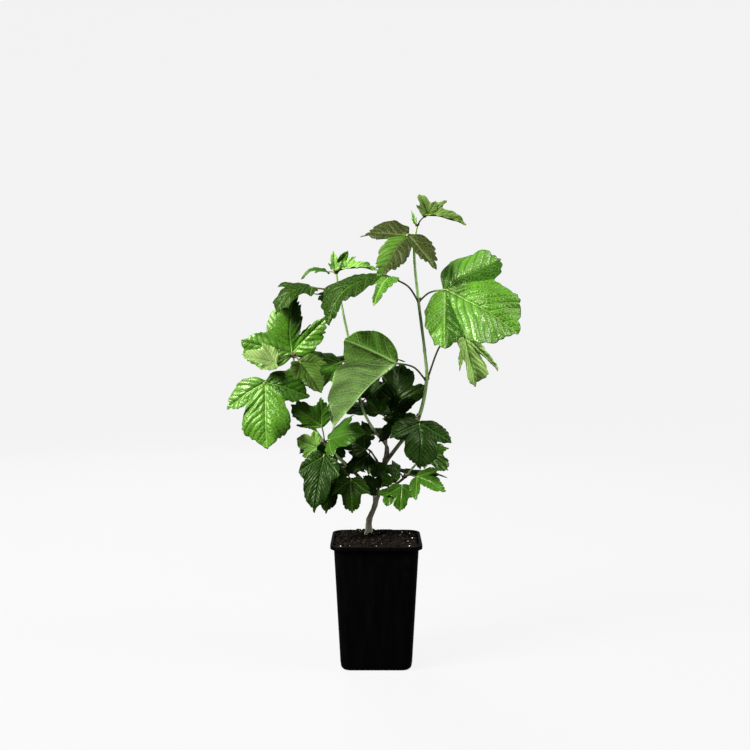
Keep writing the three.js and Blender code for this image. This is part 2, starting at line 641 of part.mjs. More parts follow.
// The room that a parent limb takes up where others spring from it.
const trunkRoom = trunkSolid(CLEARANCE);
const leftRoom = stretch(SHOOTS.left, 0, 2, LIMB_SIDES, CLEARANCE);
const tallRoom = stretch(SHOOTS.tall, 0, 1, LIMB_SIDES, CLEARANCE);
const middleRoom = stretch(SHOOTS.middle, 0, 1.5, LIMB_SIDES, CLEARANCE);
const boughs = {
  tall_shoot: [SHOOTS.tall, trunkRoom],
  middle_shoot: [SHOOTS.middle, trunkRoom, tallRoom],
  left_shoot: [SHOOTS.left, trunkRoom],
  centre_twig: [SHOOTS.centre, trunkRoom, tallRoom, middleRoom],
  inner_twig: [SHOOTS.inner, trunkRoom],
  lower_left_twig: [SHOOTS.lowerLeft, leftRoom],
  lower_right_twig: [SHOOTS.lowerRight, trunkRoom],
};
for (const [name, [shoot, ...parents]] of Object.entries(boughs)) {
  place(plant, name, boughSolid(shoot, parents), shootMaterial);
}

Object.entries(MASSES).forEach(([name, spec], index) => {
  place(plant, name, massSolid(spec, SEEDS_PER_MASS * (index + 1)), leafMaterial);
});

export default group;
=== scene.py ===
"""The looks of a young snowball viburnum that stands in a deep square nursery pot.

Blender works in metres, +Z up. The plant's sizes are in millimetres, and each of its meshes
is turned to metres where it is made. The sections follow the plant as it is put together: the
place where it stands, the pot, the soil, the trunk, the shoots, and then their leaves.
"""

import bpy
import numpy as np
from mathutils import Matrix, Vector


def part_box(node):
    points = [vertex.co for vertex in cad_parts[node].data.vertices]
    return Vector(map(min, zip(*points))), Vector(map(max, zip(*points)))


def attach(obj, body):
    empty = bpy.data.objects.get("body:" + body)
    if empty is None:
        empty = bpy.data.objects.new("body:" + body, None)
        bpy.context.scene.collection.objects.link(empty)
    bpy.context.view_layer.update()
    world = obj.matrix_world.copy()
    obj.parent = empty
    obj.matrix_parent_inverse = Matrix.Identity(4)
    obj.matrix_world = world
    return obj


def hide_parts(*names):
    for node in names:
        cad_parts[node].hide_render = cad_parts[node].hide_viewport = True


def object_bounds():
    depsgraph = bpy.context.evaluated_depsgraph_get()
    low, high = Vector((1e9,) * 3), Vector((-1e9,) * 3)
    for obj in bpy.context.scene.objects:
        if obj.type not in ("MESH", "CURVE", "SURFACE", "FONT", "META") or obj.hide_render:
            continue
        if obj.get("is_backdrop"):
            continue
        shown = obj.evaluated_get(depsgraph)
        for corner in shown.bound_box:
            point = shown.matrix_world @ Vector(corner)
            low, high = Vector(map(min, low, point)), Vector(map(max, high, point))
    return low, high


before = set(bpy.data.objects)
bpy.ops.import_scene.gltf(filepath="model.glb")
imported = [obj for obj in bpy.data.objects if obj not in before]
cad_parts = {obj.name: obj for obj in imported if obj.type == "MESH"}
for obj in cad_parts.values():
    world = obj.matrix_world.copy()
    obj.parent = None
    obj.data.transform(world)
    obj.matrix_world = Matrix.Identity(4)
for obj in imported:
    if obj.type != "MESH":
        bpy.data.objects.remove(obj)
cad_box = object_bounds()

# ------------------------------------------------------------------ the place where it stands

# Pale paper lies under the pot and sweeps up all round it, so no side shows a horizon. Large
# soft lamps stand at the left, the right and behind, and the room adds an even, weak light.

VIEW_PLACE = (-0.0013, -1.1, 0.34104)
# How far the camera looks down, in degrees, and its lens and sensor in millimetres.
VIEW_PITCH = 2.726
LENS = 53.062
SENSOR_WIDTH = 36
# The paper in metres: how far off it stands up, the radius of its bend, and its top.
PAPER_RADIUS = 3.8
PAPER_BEND = 1.6
PAPER_TOP = 5.0
PAPER_SIDES = 96
PAPER_GLOW = 0.88
ROOM_LIGHT = 0.15
# Each lamp's place in metres and its power in watts, then the point that they all face and
# the side of each.
LAMPS = {
    "left_lamp": ((-1.3, -0.9, 1.5), 115),
    "right_lamp": ((1.2, -0.4, 1.4), 27),
    "back_lamp": ((-0.5, 1.5, 1.3), 40),
}
LAMP_AIM = (0, 0, 0.3)
LAMP_SIDE = 0.7


def paint(code):
    """An sRGB hex colour as linear red, green, blue and alpha: a channel under 0.04045 is
    divided by 12.92, and any other follows the 2.4 power curve."""
    channels = [int(code[i:i + 2], 16) / 255 for i in (1, 3, 5)]
    linear = [c / 12.92 if c <= 0.04045 else ((c + 0.055) / 1.055) ** 2.4 for c in channels]
    return (*linear, 1.0)


def new_finish(name, **values):
    """Starts a material with values on its surface shader's own sockets, and gives two small
    functions. `add` makes one shader node with its settings and gives one of its outputs, and
    `join` fills the shader's sockets and gives the material. An input, by name or in its
    order, is given a value, or the socket that it is linked to."""
    material = bpy.data.materials.new(name)
    material.use_nodes = True
    tree = material.node_tree

    def fill(node, inputs):
        for key, value in inputs.items():
            if isinstance(value, bpy.types.NodeSocket):
                tree.links.new(value, node.inputs[key])
            else:
                node.inputs[key].default_value = value

    def add(kind, inputs=(), out=0, **settings):
        made = tree.nodes.new("ShaderNode" + kind)
        for setting, value in settings.items():
            setattr(made, setting, value)
        fill(made, inputs if isinstance(inputs, dict) else dict(enumerate(inputs)))
        return made.outputs[out]

    def join(**sockets):
        fill(tree.nodes["Principled BSDF"],
             {key.replace("_", " "): value for key, value in sockets.items()})
        return material

    join(**values)
    return add, join


def placed(name, data):
    """A new object in the scene, made of the data."""
    made = bpy.data.objects.new(name, data)
    bpy.context.scene.collection.objects.link(made)
    return made


def all_round(count):
    """Even angles once round, in radians."""
    return np.arange(count) * 2 * np.pi / count


def paper_points():
    """The profile is level, then a quarter circle, then upright, and it is turned all round."""
    bend = np.linspace(0, np.pi / 2, 24)
    out = np.concatenate([[0.001], PAPER_RADIUS - PAPER_BEND * (1 - np.sin(bend)), [PAPER_RADIUS]])
    z = np.concatenate([[0], PAPER_BEND * (1 - np.cos(bend)), [PAPER_TOP]])
    turn = all_round(PAPER_SIDES)
    level = out[:, None] * np.ones(PAPER_SIDES)
    return np.stack([level * np.cos(turn), level * np.sin(turn), z[:, None] + 0 * level], 2)


# Backlit paper: it glows evenly, and takes only a faint shadow.
add, join = new_finish(
    "backlit_paper", Base_Color=paint("#2a2a2a"), Roughness=0.9, Specular_IOR_Level=0.0,
    Emission_Color=paint("#ffffff"), Emission_Strength=PAPER_GLOW)
paper_rings = paper_points()
ring, side = (grid.ravel() for grid in np.mgrid[0:len(paper_rings) - 1, 0:PAPER_SIDES])
paper_faces = np.stack([r * PAPER_SIDES + c % PAPER_SIDES for r, c in (
    (ring, side), (ring + 1, side), (ring + 1, side + 1), (ring, side + 1))], 1)
sweep = bpy.data.meshes.new("paper_floor")
sweep.from_pydata(paper_rings.reshape(-1, 3).tolist(), [], paper_faces.tolist())
sweep.shade_smooth()
sweep.materials.append(join())
paper = placed("paper_floor", sweep)
# The paper is bright to look at, but throws no light on the plant, so its shadows stay deep.
paper.visible_diffuse = False
paper.visible_glossy = False
paper.visible_shadow = False
paper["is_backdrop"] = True

camera = placed("camera", bpy.data.cameras.new("camera"))
camera.data.lens = LENS
camera.data.sensor_width = SENSOR_WIDTH
camera.location = VIEW_PLACE
camera.rotation_euler = (np.radians(90 - VIEW_PITCH), 0, 0)
bpy.context.scene.camera = camera

for name, (place, watts) in LAMPS.items():
    lamp = placed(name, bpy.data.lights.new(name, "AREA"))
    lamp.data.shape = "SQUARE"
    lamp.data.size = LAMP_SIDE
    lamp.data.energy = watts
    lamp.location = place
    x, y, z = np.subtract(place, LAMP_AIM)
    lamp.rotation_euler = (np.arctan2(np.hypot(x, y), z), 0, np.arctan2(x, -y))
    # The back lamp only lights the far side, and would glare on leaves seen from the front.
    lamp.visible_glossy = name != "back_lamp"

room = bpy.data.worlds.new("bright_room")
room.use_nodes = True
for socket, value in (("Color", paint("#ffffff")), ("Strength", ROOM_LIGHT)):
    room.node_tree.nodes["Background"].inputs[socket].default_value = value
bpy.context.scene.world = room
bpy.context.scene.view_settings.view_transform = "Standard"

# ------------------------------------------------------------------ the pot

# A deep square nursery pot, moulded in thin black polypropylene. Its walls taper to rounded
# corners at the foot, a turned-out rim stiffens the mouth, and four drain holes go through
# the floor. The steel mould leaves a fine grain, and handling leaves dull scuffs.

POT_LOW, POT_HIGH = (np.array(corner) * 1000 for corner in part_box("pot"))
RIM_WIDTH = POT_HIGH[0] - POT_LOW[0]
POT_HEIGHT = POT_HIGH[2]
RIM_HEIGHT = 4.4
RIM_LEDGE = 3.6
RIM_THICKNESS = 2.8
RIM_ROUNDING = 0.7
BASE_WIDTH = 70.0
POT_WALL = 1.2
POT_FLOOR = 1.6
POT_CORNER = 10.0
FOOT_ROUNDING = 5.0
FLOOR_ROUNDING = 1.5
DRAIN_HOLE = 9.0
DRAIN_SPREAD = 21.0
DRAIN_SIDES = 32
CORNER_POINTS = 14
SIDE_POINTS = 16
LEDGE = POT_HEIGHT - RIM_HEIGHT
LIP_CHAMFER = 0.4
MIDDLE_SQUARE = 6.0
# Edges that turn more sharply than this many degrees stay crisp.
CRISP_EDGE = 38
# The margin round each square of the bake map, as a share of it.
MAP_MARGIN = 0.03
# The widths of the patterns in its plastic, in millimetres.
MOULD_GRAIN = 1.0
SCUFF_WIDTH = 4.545
SMUDGE_WIDTH = 11.11


def square_line(width, corner):
    """A closed row of points: four quarter circles, and between them the straight sides cut
    into even steps. One quarter is worked out, and turned three times."""
    straight = width / 2 - corner
    turn = np.linspace(0, np.pi / 2, CORNER_POINTS)
    arc = np.stack([np.cos(turn), np.sin(turn)], 1) * corner + straight
    side = np.linspace(straight, -straight, SIDE_POINTS + 2)[1:-1]
    quarter = np.vstack([arc, np.stack([side, np.full_like(side, width / 2)], 1)])
    turns = [np.array([[c, s], [-s, c]]) for c, s in ((1, 0), (0, 1), (-1, 0), (0, -1))]
    return np.vstack([quarter @ one for one in turns])


def square_rings(levels):
    """A row of points for each level, which is a width, a corner radius and a height."""
    rows = [square_line(width, corner) for width, corner, z in levels]
    heights = [np.full((len(rows[0]), 1), z) for width, corner, z in levels]
    return np.concatenate([np.stack(rows), np.stack(heights)], 2)


def with_poles(rows):
    """Rows of values as one list, with the mean of the first row and of the last at its end."""
    return np.vstack([rows.reshape(-1, rows.shape[2]), rows[0].mean(0), rows[-1].mean(0)])


def skin_over(rings):
    """One closed surface over rows of equal length, with a fan to the middle of the first row
    and of the last. Each face corner gets its place, round and along, from 0 to 1, and each
    face the number of its finish and of its square on the bake map. Where the volume, a sixth
    of the sum of all triple products, is negative, each face is reversed."""
    rows, columns = rings.shape[:2]
    points = with_poles(rings)
    row, column = (grid.ravel() for grid in np.mgrid[0:rows - 1, 0:columns])
    corners = [(row, column), (row, column + 1), (row + 1, column + 1), (row + 1, column)]
    quads = np.stack([r * columns + c % columns for r, c in corners], 1)
    quad_uv = np.stack([np.stack([c / columns, r / (rows - 1)], 1) for r, c in corners], 1)
    here = np.arange(columns)
    after = (here + 1) % columns
    low_end = np.full(columns, rows * columns)
    far = (rows - 1) * columns
    tris = np.vstack([np.stack([after, here, low_end], 1),
                      np.stack([far + here, far + after, low_end + 1], 1)])
    share = np.stack([here + 1, here, here + 0.5], 1) / columns
    tri_uv = np.vstack([np.stack([share, np.zeros_like(share)], 2),
                        np.stack([share[:, [1, 0, 2]], np.ones_like(share)], 2)])
    a, b, c = (points[np.vstack([quads[:, [0, i, i + 1]] for i in (1, 2)] + [tris])[:, i]]
               for i in range(3))
    turn = -1 if np.einsum("ij,ij->i", a, np.cross(b, c)).sum() < 0 else 1
    skin = {"points": points, "quads": quads[:, ::turn], "tris": tris[:, ::turn],
            "quad_uv": quad_uv[:, ::turn], "tri_uv": tri_uv[:, ::turn]}
    for kind in ("quad", "tri"):
        skin[kind + "_finish"] = skin[kind + "_square"] = np.zeros(len(skin[kind + "s"]), int)
    return skin


def joined(skins):
    """Many skins as one. Each keeps its faces, its finish and its marks, and takes the next
    free squares of the bake map, which is cut into as many equal squares as are needed."""
    squares = [skin["quad_square"].max() + 1 for skin in skins]
    across = int(np.ceil(np.sqrt(sum(squares))))
    starts = np.cumsum([0] + [len(skin["points"]) for skin in skins])
    firsts = np.cumsum([0] + squares)
    out = {held: np.vstack([skin[held] for skin in skins])
           for held in ("points", "marks", "own", "quad_uv", "tri_uv") if held in skins[0]}
    for kind in ("quad", "tri"):
        out[kind + "s"] = np.vstack([skin[kind + "s"] + n for skin, n in zip(skins, starts)])
        out[kind + "_finish"] = np.concatenate([skin[kind + "_finish"] for skin in skins])
        square = np.concatenate([skin[kind + "_square"] + n for skin, n in zip(skins, firsts)])
        corner = np.stack([square % across, square // across], 1)[:, None]
        local = MAP_MARGIN + (1 - 2 * MAP_MARGIN) * out[kind + "_uv"]
        out[kind + "_uv"] = (corner + local) / across
    return out


def mesh_piece(name, skin, finishes, slot, node):
    """A mesh object from a skin in millimetres. It rides on the plant's one body, and stands
    in for a node of the frame."""
    mesh = bpy.data.meshes.new(name)
    faces = [skin["quads"], skin["tris"]]
    corners = np.concatenate([each.ravel() for each in faces]).astype(np.int32)
    sizes = np.concatenate([np.full(len(each), each.shape[1]) for each in faces])
    mesh.vertices.add(len(skin["points"]))
    mesh.vertices.foreach_set("co", (skin["points"] / 1000).astype(np.float32).ravel())
    mesh.loops.add(len(corners))
    mesh.loops.foreach_set("vertex_index", corners)
    mesh.polygons.add(len(sizes))
    mesh.polygons.foreach_set("loop_start", (np.cumsum(sizes) - sizes).astype(np.int32))
    mesh.polygons.foreach_set("use_smooth", np.ones(len(sizes), bool))
    for each in finishes:
        mesh.materials.append(each)
    finish = np.concatenate([skin["quad_finish"], skin["tri_finish"]])
    mesh.polygons.foreach_set("material_index", finish.astype(np.int32))
    mesh.update(calc_edges=True)
    uv = np.concatenate([skin["quad_uv"].ravel(), skin["tri_uv"].ravel()])
    mesh.uv_layers.new(name="OFBake").data.foreach_set("uv", uv.astype(np.float32))
    for held in ("marks", "own"):
        if held in skin:
            values = mesh.attributes.new(held, "FLOAT_VECTOR", "POINT")
            values.data.foreach_set("vector", skin[held].astype(np.float32).ravel())
    piece = placed(name, mesh)
    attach(piece, "root")
    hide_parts(node)
    return piece


def body_width(z):
    """The body's outside width grows evenly from its base to the ledge under the rim."""
    return BASE_WIDTH + (RIM_WIDTH - 2 * RIM_LEDGE - BASE_WIDTH) * z / LEDGE


def rounding(width, corner, z, radius, inward, upward):
    """Levels along a quarter circle, from its shares of the radius inward and upward."""
    return [(width - 2 * radius * i, corner - radius * i, z + radius * u)
            for i, u in zip(inward, upward)]


def pot_levels():
    """The profile from the middle of the underside, out round the foot, up the wall, over the
    rim, and down inside to the middle of the floor. Each rounding is a quarter circle."""
    quarter = np.linspace(0, np.pi / 2, 8)
    falling, rising = 1 - np.sin(quarter), 1 - np.cos(quarter)
    rim_corner = POT_CORNER + RIM_LEDGE
    mouth = RIM_WIDTH - 2 * RIM_THICKNESS
    bare = POT_CORNER - POT_WALL
    return [
        (MIDDLE_SQUARE, MIDDLE_SQUARE / 3, 0),
        *rounding(body_width(0), POT_CORNER, 0, FOOT_ROUNDING, falling, rising),
        *((body_width(z), POT_CORNER, z) for z in np.linspace(FOOT_ROUNDING + 3, LEDGE, 16)),
        *rounding(RIM_WIDTH, rim_corner, LEDGE, RIM_ROUNDING, falling, rising),
        *rounding(RIM_WIDTH, rim_corner, POT_HEIGHT, RIM_ROUNDING, rising, -falling),
        (mouth + 2 * LIP_CHAMFER, POT_CORNER + LIP_CHAMFER, POT_HEIGHT),
        (mouth, POT_CORNER, POT_HEIGHT - LIP_CHAMFER),
        *((body_width(z) - 2 * POT_WALL, bare, z)
          for z in np.linspace(LEDGE, POT_FLOOR + FLOOR_ROUNDING, 12)),
        *rounding(body_width(0) - 2 * POT_WALL, bare, POT_FLOOR, FLOOR_ROUNDING, rising,
                  falling)[1:],
        (MIDDLE_SQUARE, MIDDLE_SQUARE / 3, POT_FLOOR),
    ]


def moulded_polypropylene():
    """Near-black, with a broad dull gloss. The mould's grain is drawn 1 mm wide, because the
    real 0.2 mm is too fine to show. Scuffs run down the walls and dried soil clings high up.
    The top edge of the rim is painted a lighter grey: partly rubbed and dusty, and partly a
    painted highlight along the edge."""
    add, join = new_finish("moulded_black_polypropylene", IOR=1.49, Specular_IOR_Level=0.06)
    place = add("TexCoord", out="Object")
    grain = add("TexNoise", {"Vector": place, "Scale": 1000 / MOULD_GRAIN, "Detail": 2.0})
    drawn = add("Mapping", {"Vector": place, "Scale": (1.0, 1.0, 0.12)})
    scuffs = add("TexNoise", {"Vector": drawn, "Scale": 1000 / SCUFF_WIDTH, "Detail": 5.0,
                              "Roughness": 0.65})
    height = add("SeparateXYZ", (place,), "Z")
    smudge = add("TexNoise", {"Vector": place, "Scale": 1000 / SMUDGE_WIDTH, "Detail": 6.0})
    # A range node takes its value, the low and high end that it reads, and those that it gives.
    worn = add("MapRange", (scuffs, 0.4, 0.7, 0.36, 0.6))
    upper = add("MapRange", (height, 0.08, 0.124))
    patch = add("MapRange", (smudge, 0.5, 0.72, 0.0, 0.5))
    # Painted highlight: the top edge of the rim is painted lighter, partly worn and dusty, partly
    # standing for the highlight that the edge would catch.
    edge = add("MapRange", (height, 0.12435, 0.1249, 0.0, 0.6))
    dusty = add("Math", (upper, patch), operation="MULTIPLY")
    # A colour mix takes its share in socket 0, its colours in 6 and 7, and gives them in 2.
    colour = add("Mix", {0: dusty, 6: paint("#010101"), 7: paint("#0b0907")}, 2, data_type="RGBA")
    edged = add("Mix", {0: edge, 6: colour, 7: paint("#14120f")}, 2, data_type="RGBA")
    bump = add("Bump", {"Height": grain, "Strength": 0.3, "Distance": 0.00015})
    return join(Base_Color=edged, Roughness=worn, Normal=bump)


pot = mesh_piece(
    "nursery_pot", skin_over(square_rings(pot_levels())), [moulded_polypropylene()],
    "pot_plastic", "pot")

# Each drain hole is punched by an upright cylinder that passes 2 mm beyond the floor.
spin = all_round(DRAIN_SIDES)
punch_ring = np.stack([np.cos(spin), np.sin(spin), 0 * spin], 1) * DRAIN_HOLE / 2
punch_skin = joined([skin_over(np.stack([punch_ring + [x, y, z] for z in (-2, POT_FLOOR + 2)]))
                     for x in (-DRAIN_SPREAD, DRAIN_SPREAD)
                     for y in (-DRAIN_SPREAD, DRAIN_SPREAD)])
punch_mesh = bpy.data.meshes.new("punches")
punch_mesh.from_pydata(
    (punch_skin["points"] / 1000).tolist(), [],
    punch_skin["quads"].tolist() + punch_skin["tris"].tolist())
punch = placed("punches", punch_mesh)
drill = pot.modifiers.new("drain_holes", "BOOLEAN")
drill.operation = "DIFFERENCE"
drill.solver = "EXACT"
drill.object = punch
with bpy.context.temp_override(object=pot, active_object=pot):
    bpy.ops.object.modifier_apply(modifier=drill.name)
bpy.data.objects.remove(punch)
pot.data.set_sharp_from_angle(angle=np.radians(CRISP_EDGE))

# ------------------------------------------------------------------ the potting soil

# Peat and composted bark, pressed into the pot and heaped a little round the trunk. Loose
# crumbs, chips of bark and white grains of perlite lie on top, some of them against the rim.

SOIL_GAP = 0.3
SOIL_EDGE = 123.9
SOIL_TOP = 129.2
# The mound: half its width in millimetres at each place, and the share of its rise there.
MOUND_PLACES = [0, 13, 18.2, 27.3, 40.5]
MOUND_SHARES = [1, 1, 0.9, 0.55, 0]
LUMP_WAVES = 60
LUMP_HEIGHT = 0.42
BEAD_SIDES = 7
BEAD_RINGS = 4
CRUMB_WIDTH = 1.2
DUST_WIDTH = 3.0


def soil_height(x, y):
    """The mound falls off with the fourth-power distance from the middle. Waves from 3 to
    20 mm long, laid in all directions, make its lumps."""
    random = np.random.default_rng(7)
    heading = random.uniform(0, 2 * np.pi, LUMP_WAVES)
    crests = 2 * np.pi / random.uniform(3, 20, LUMP_WAVES)
    offset = random.uniform(0, 2 * np.pi, LUMP_WAVES)
    waves = crests * (x[..., None] * np.cos(heading) + y[..., None] * np.sin(heading)) + offset
    lumps = np.sin(waves).sum(-1) / np.sqrt(LUMP_WAVES / 2) * LUMP_HEIGHT
    out = (x ** 4 + y ** 4) ** 0.25
    rise = np.interp(out, MOUND_PLACES, MOUND_SHARES)
    return SOIL_EDGE + rise * (SOIL_TOP - SOIL_EDGE) + lumps


def soil_rings():
    """The block's sides follow the inside of the pot. Its top is a set of nested squares from
    the wall to the middle, each lifted to the soil's height."""
    slack = 2 * (POT_WALL + SOIL_GAP)
    corner = POT_CORNER - POT_WALL - SOIL_GAP
    low = POT_FLOOR + SOIL_GAP
    shelf = SOIL_EDGE - 2
    foot = body_width(low) - slack
    sides = [(foot - 3, corner - 1.5, low), (foot, corner, low + 1.5)]
    sides += [(min(body_width(z), RIM_WIDTH - 2 * RIM_THICKNESS) - slack, corner, z)
              for z in np.linspace(low + 4, shelf - 2, 8)]
    full = body_width(shelf) - slack
    share = np.linspace(0, 1, 60)[:-1]
    top = [(full * (1 - s) - 0.3, corner * (1 - s), 0) for s in share]
    rings = square_rings(sides + top)
    crown = rings[len(sides):]
    crown[..., 2] = soil_height(crown[..., 0], crown[..., 1])
    return rings


def beads(centres, sizes, turns, seed, roughness):
    """Small lumps: a ball of a few rings, each corner moved in or out by its own random share,
    stretched to three sizes, turned about X and then Z, and set at its centre."""
    random = np.random.default_rng(seed)
    polar = np.linspace(0, np.pi, BEAD_RINGS + 2)[1:-1, None]
    around = all_round(BEAD_SIDES)
    ball = np.stack([np.sin(polar) * np.cos(around), np.sin(polar) * np.sin(around),
                     np.cos(polar) + 0 * around], 2)
    pushed = 1 + random.uniform(-roughness, roughness, (len(centres), BEAD_RINGS, BEAD_SIDES, 1))
    shaped = ball * pushed * sizes[:, None, None, :]
    for angle, (i, j) in zip(turns.T, ((1, 2), (0, 1))):
        c, s = np.cos(angle)[:, None, None], np.sin(angle)[:, None, None]
        shaped[..., i], shaped[..., j] = (shaped[..., i] * c - shaped[..., j] * s,
                                          shaped[..., i] * s + shaped[..., j] * c)
    return [skin_over(each) for each in shaped + centres[:, None, None, :]]


def scattered(count, least, most, flat, seed, roughness, finishes):
    """Lumps dealt out over the whole top, a third sunk in, each with one of the finishes."""
    random = np.random.default_rng(seed)
    size = least + (most - least) * random.random(count) ** 3
    reach = RIM_WIDTH / 2 - RIM_THICKNESS - 0.4 - size / 2
    x, y = random.uniform(-1, 1, (2, count)) * reach
    sizes = size[:, None] / 2 * np.stack(
        [np.ones(count), random.uniform(0.5, 0.95, count), random.uniform(flat, 0.9, count)], 1)
    centres = np.stack([x, y, soil_height(x, y) + sizes[:, 2] * 0.35], 1)
    skins = beads(centres, sizes, random.uniform(-0.7, 0.7, (count, 2)) * [1, 4], seed, roughness)
    for skin, finish in zip(skins, random.integers(0, finishes, count)):
        for kind in ("quad", "tri"):
            skin[kind + "_finish"] = skin[kind + "_finish"] + finish
    return skins


def damp_peat():
    """Dark, dull and rough. Crumbs of two colours catch the light."""
    add, join = new_finish("damp_peat", Roughness=0.95, Specular_IOR_Level=0.05)
    place = add("TexCoord", out="Object")
    cells = add("TexVoronoi", {"Vector": place, "Scale": 1000 / CRUMB_WIDTH})
    dust = add("TexNoise", {"Vector": place, "Scale": 1000 / DUST_WIDTH, "Detail": 6.0,
                            "Roughness": 0.7})
    mixed = add("MapRange", (dust, 0.38, 0.68))
    tone = add("Mix", {0: mixed, 6: paint("#070504"), 7: paint("#15100b")}, 2, data_type="RGBA")
    bump = add("Bump", {"Height": cells, "Strength": 0.7, "Distance": 0.0004 * CRUMB_WIDTH})
    return join(Base_Color=tone, Normal=bump)


def plain_finish(name, colour, roughness, grain):
    """One even colour for small loose things, with bumps `grain` millimetres wide."""
    add, join = new_finish(
        name, Base_Color=paint(colour), Roughness=roughness, Specular_IOR_Level=0.08)
    place = add("TexCoord", out="Object")
    noise = add("TexNoise", {"Vector": place, "Scale": 1000 / grain})
    return join(Normal=add("Bump", {"Height": noise, "Strength": 0.4, "Distance": 0.0002}))


mesh_piece("potting_mix", skin_over(soil_rings()), [damp_peat()], "soil", "potting_soil")
peat_crumbs = [plain_finish("peat_crumb_dark", "#060403", 0.95, 0.6),
               plain_finish("peat_crumb_brown", "#0d0906", 0.95, 0.6),
               plain_finish("composted_bark", "#14100a", 0.9, 0.6),
               plain_finish("dry_peat", "#1f1b14", 0.95, 0.6)]
mesh_piece("soil_crumbs", joined(scattered(900, 1.2, 5.0, 0.4, 11, 0.22, len(peat_crumbs))),
           peat_crumbs, "soil", "potting_soil")
white_grains = [plain_finish("expanded_perlite", "#dcd8cf", 0.9, 0.5),
                plain_finish("dusty_perlite", "#a59c8c", 0.9, 0.5)]
mesh_piece("perlite_grains", joined(scattered(45, 0.8, 2.6, 0.6, 12, 0.15, len(white_grains))),
           white_grains, "soil", "potting_soil")

# ------------------------------------------------------------------ the trunk

# The old wood of the cutting: a short crooked trunk with low shoulders where it meets the
# soil, swollen at its nodes and forks, in thin grey-beige bark with corky pores.

# Every place on the plant is counted from here, on top of the soil.
PLANT_FOOT = np.array([0, 0, 129.5])
TRUNK_NODES = [[-8.5, 0, -10], [-8, 0, 1], [-7, 0, 14], [-1.5, 0, 28], [0, 0, 38], [2, 0, 53],
               [7, 0, 66], [9.5, 0, 75]]
TRUNK_RADII = [4.8, 3.9, 2.8, 2.5, 3.1, 2.2, 2.6, 2.9]
# Steps along the path, and the age of the bark at each: 1 is woody and 0 is green.
TRUNK_AGE = ([0, 4, 5.2, 7], [1, 0.95, 0.6, 0.55])
# The step where the lobes of its foot end, and how far they stand out, as a share of the radius.
FLARE_END = 2.2
FLARE_DEPTH = 0.28
RING_STEP = 0.9
BARK_WAVES = 26
# The most crests of one wave round a limb.
BARK_CRESTS = 9
# How wide the swelling at a node and the ridge above it are, and how far up that ridge lies.
KNOT_WIDTH = 1.7
RIDGE_WIDTH = 0.5
RIDGE_RISE = 1.6
COLLAR_WIDTH = 4.0
# The bark's corky pores, streaks and patches, in millimetres.
PORE_SPACING = 1.5
STREAK_WIDTH = 1.4286
PATCH_WIDTH = 8.333
# How many steps a path is measured in.
FINE_STEPS = 400


def through(values, way):
    """A smooth curve through rows of values, and its slope. Between two rows it is the cubic
    whose slope at each row is half the way from the row before to the row after."""
    rows = np.vstack([2 * values[0] - values[1], values, 2 * values[-1] - values[-2]])
    at = np.clip(np.floor(way).astype(int), 0, len(values) - 2)
    t = (way - at)[:, None]
    a, b = rows[at + 1], rows[at + 2]
    slope_a, slope_b = (b - rows[at]) / 2, (rows[at + 3] - a) / 2
    c = -3 * a + 3 * b - 2 * slope_a - slope_b
    d = 2 * a - 2 * b + slope_a + slope_b
    return a + t * (slope_a + t * (c + t * d)), slope_a + t * (2 * c + t * 3 * d)


def unit(vectors):
    """The same directions, each with a length of 1."""
    return vectors / np.linalg.norm(vectors, axis=-1, keepdims=True)


def path_length(points):
    """How long a path is up to each of its points."""
    return np.append(0, np.cumsum(np.linalg.norm(np.diff(points, axis=0), axis=1)))


def tube_rings(centre, slope, reach):
    """Rings square to a path. `reach` is the radius at each step and each angle."""
    along = unit(slope)
    side = unit(np.cross([0, 1, 0], along))
    front = np.cross(along, side)
    turn = all_round(reach.shape[1])[:, None]
    spoke = np.cos(turn) * side[:, None] + np.sin(turn) * front[:, None]
    return centre[:, None] + spoke * reach[..., None]


def bark_relief(length, turn, seed):
    """Waves with whole crests round the limb, and long ones along it, added up to a height of
    about 1."""
    random = np.random.default_rng(seed)
    crests = random.integers(1, BARK_CRESTS, BARK_WAVES)
    drift = random.uniform(-1, 1, BARK_WAVES) * 2 * np.pi / random.uniform(4, 30, BARK_WAVES)
    offset = random.uniform(0, 2 * np.pi, BARK_WAVES)
    waves = turn[..., None] * crests + length[..., None] * drift + offset
    return np.sin(waves).sum(-1) / np.sqrt(BARK_WAVES / 2)


def limb_skin(nodes, radii, sides, relief, seed, swelling, age, start=0.0, flare=None, collar=0.0):
    """A limb through its nodes: a radius that changes smoothly, a ring-shaped swelling at each
    node, a collar where it springs, and the relief of its bark. Its marks are its age from 1,
    woody, to 0, green, then the length and the angle."""
    nodes = np.array(nodes, float) + PLANT_FOOT
    last = len(nodes) - 1
    coarse = np.linspace(start, last, FINE_STEPS)
    length = path_length(through(nodes, coarse)[0])
    even = np.linspace(0, length[-1], int(length[-1] / RING_STEP))
    way = np.interp(even, length, coarse)
    centre, slope = through(nodes, way)
    radius = through(np.array(radii, float)[:, None], way)[0][:, 0]
    for knot in np.interp(np.arange(1, last + 1), coarse, length):
        past = even - knot
        radius = radius * (1 + swelling * np.exp(-(past / KNOT_WIDTH) ** 2))
        radius = radius * (1 + 0.4 * swelling * np.exp(-((past - RIDGE_RISE) / RIDGE_WIDTH) ** 2))
    radius = radius * (1 + collar * np.exp(-(even / COLLAR_WIDTH) ** 2))
    turn = all_round(sides)
    length_grid, turn_grid = np.meshgrid(even, turn, indexing="ij")
    reach = radius[:, None] * (1 + relief * bark_relief(length_grid, turn_grid, seed))
    if flare:
        lift = np.maximum(0, 1 - way / FLARE_END)[:, None]
        reach = reach * (1 + flare * lift * np.cos(3 * turn + 0.6))
    skin = skin_over(tube_rings(centre, slope, reach))
    aged = np.interp(way, *age)[:, None] + 0 * turn_grid
    skin["marks"] = with_poles(np.stack([aged, length_grid, turn_grid], 2))
    return skin


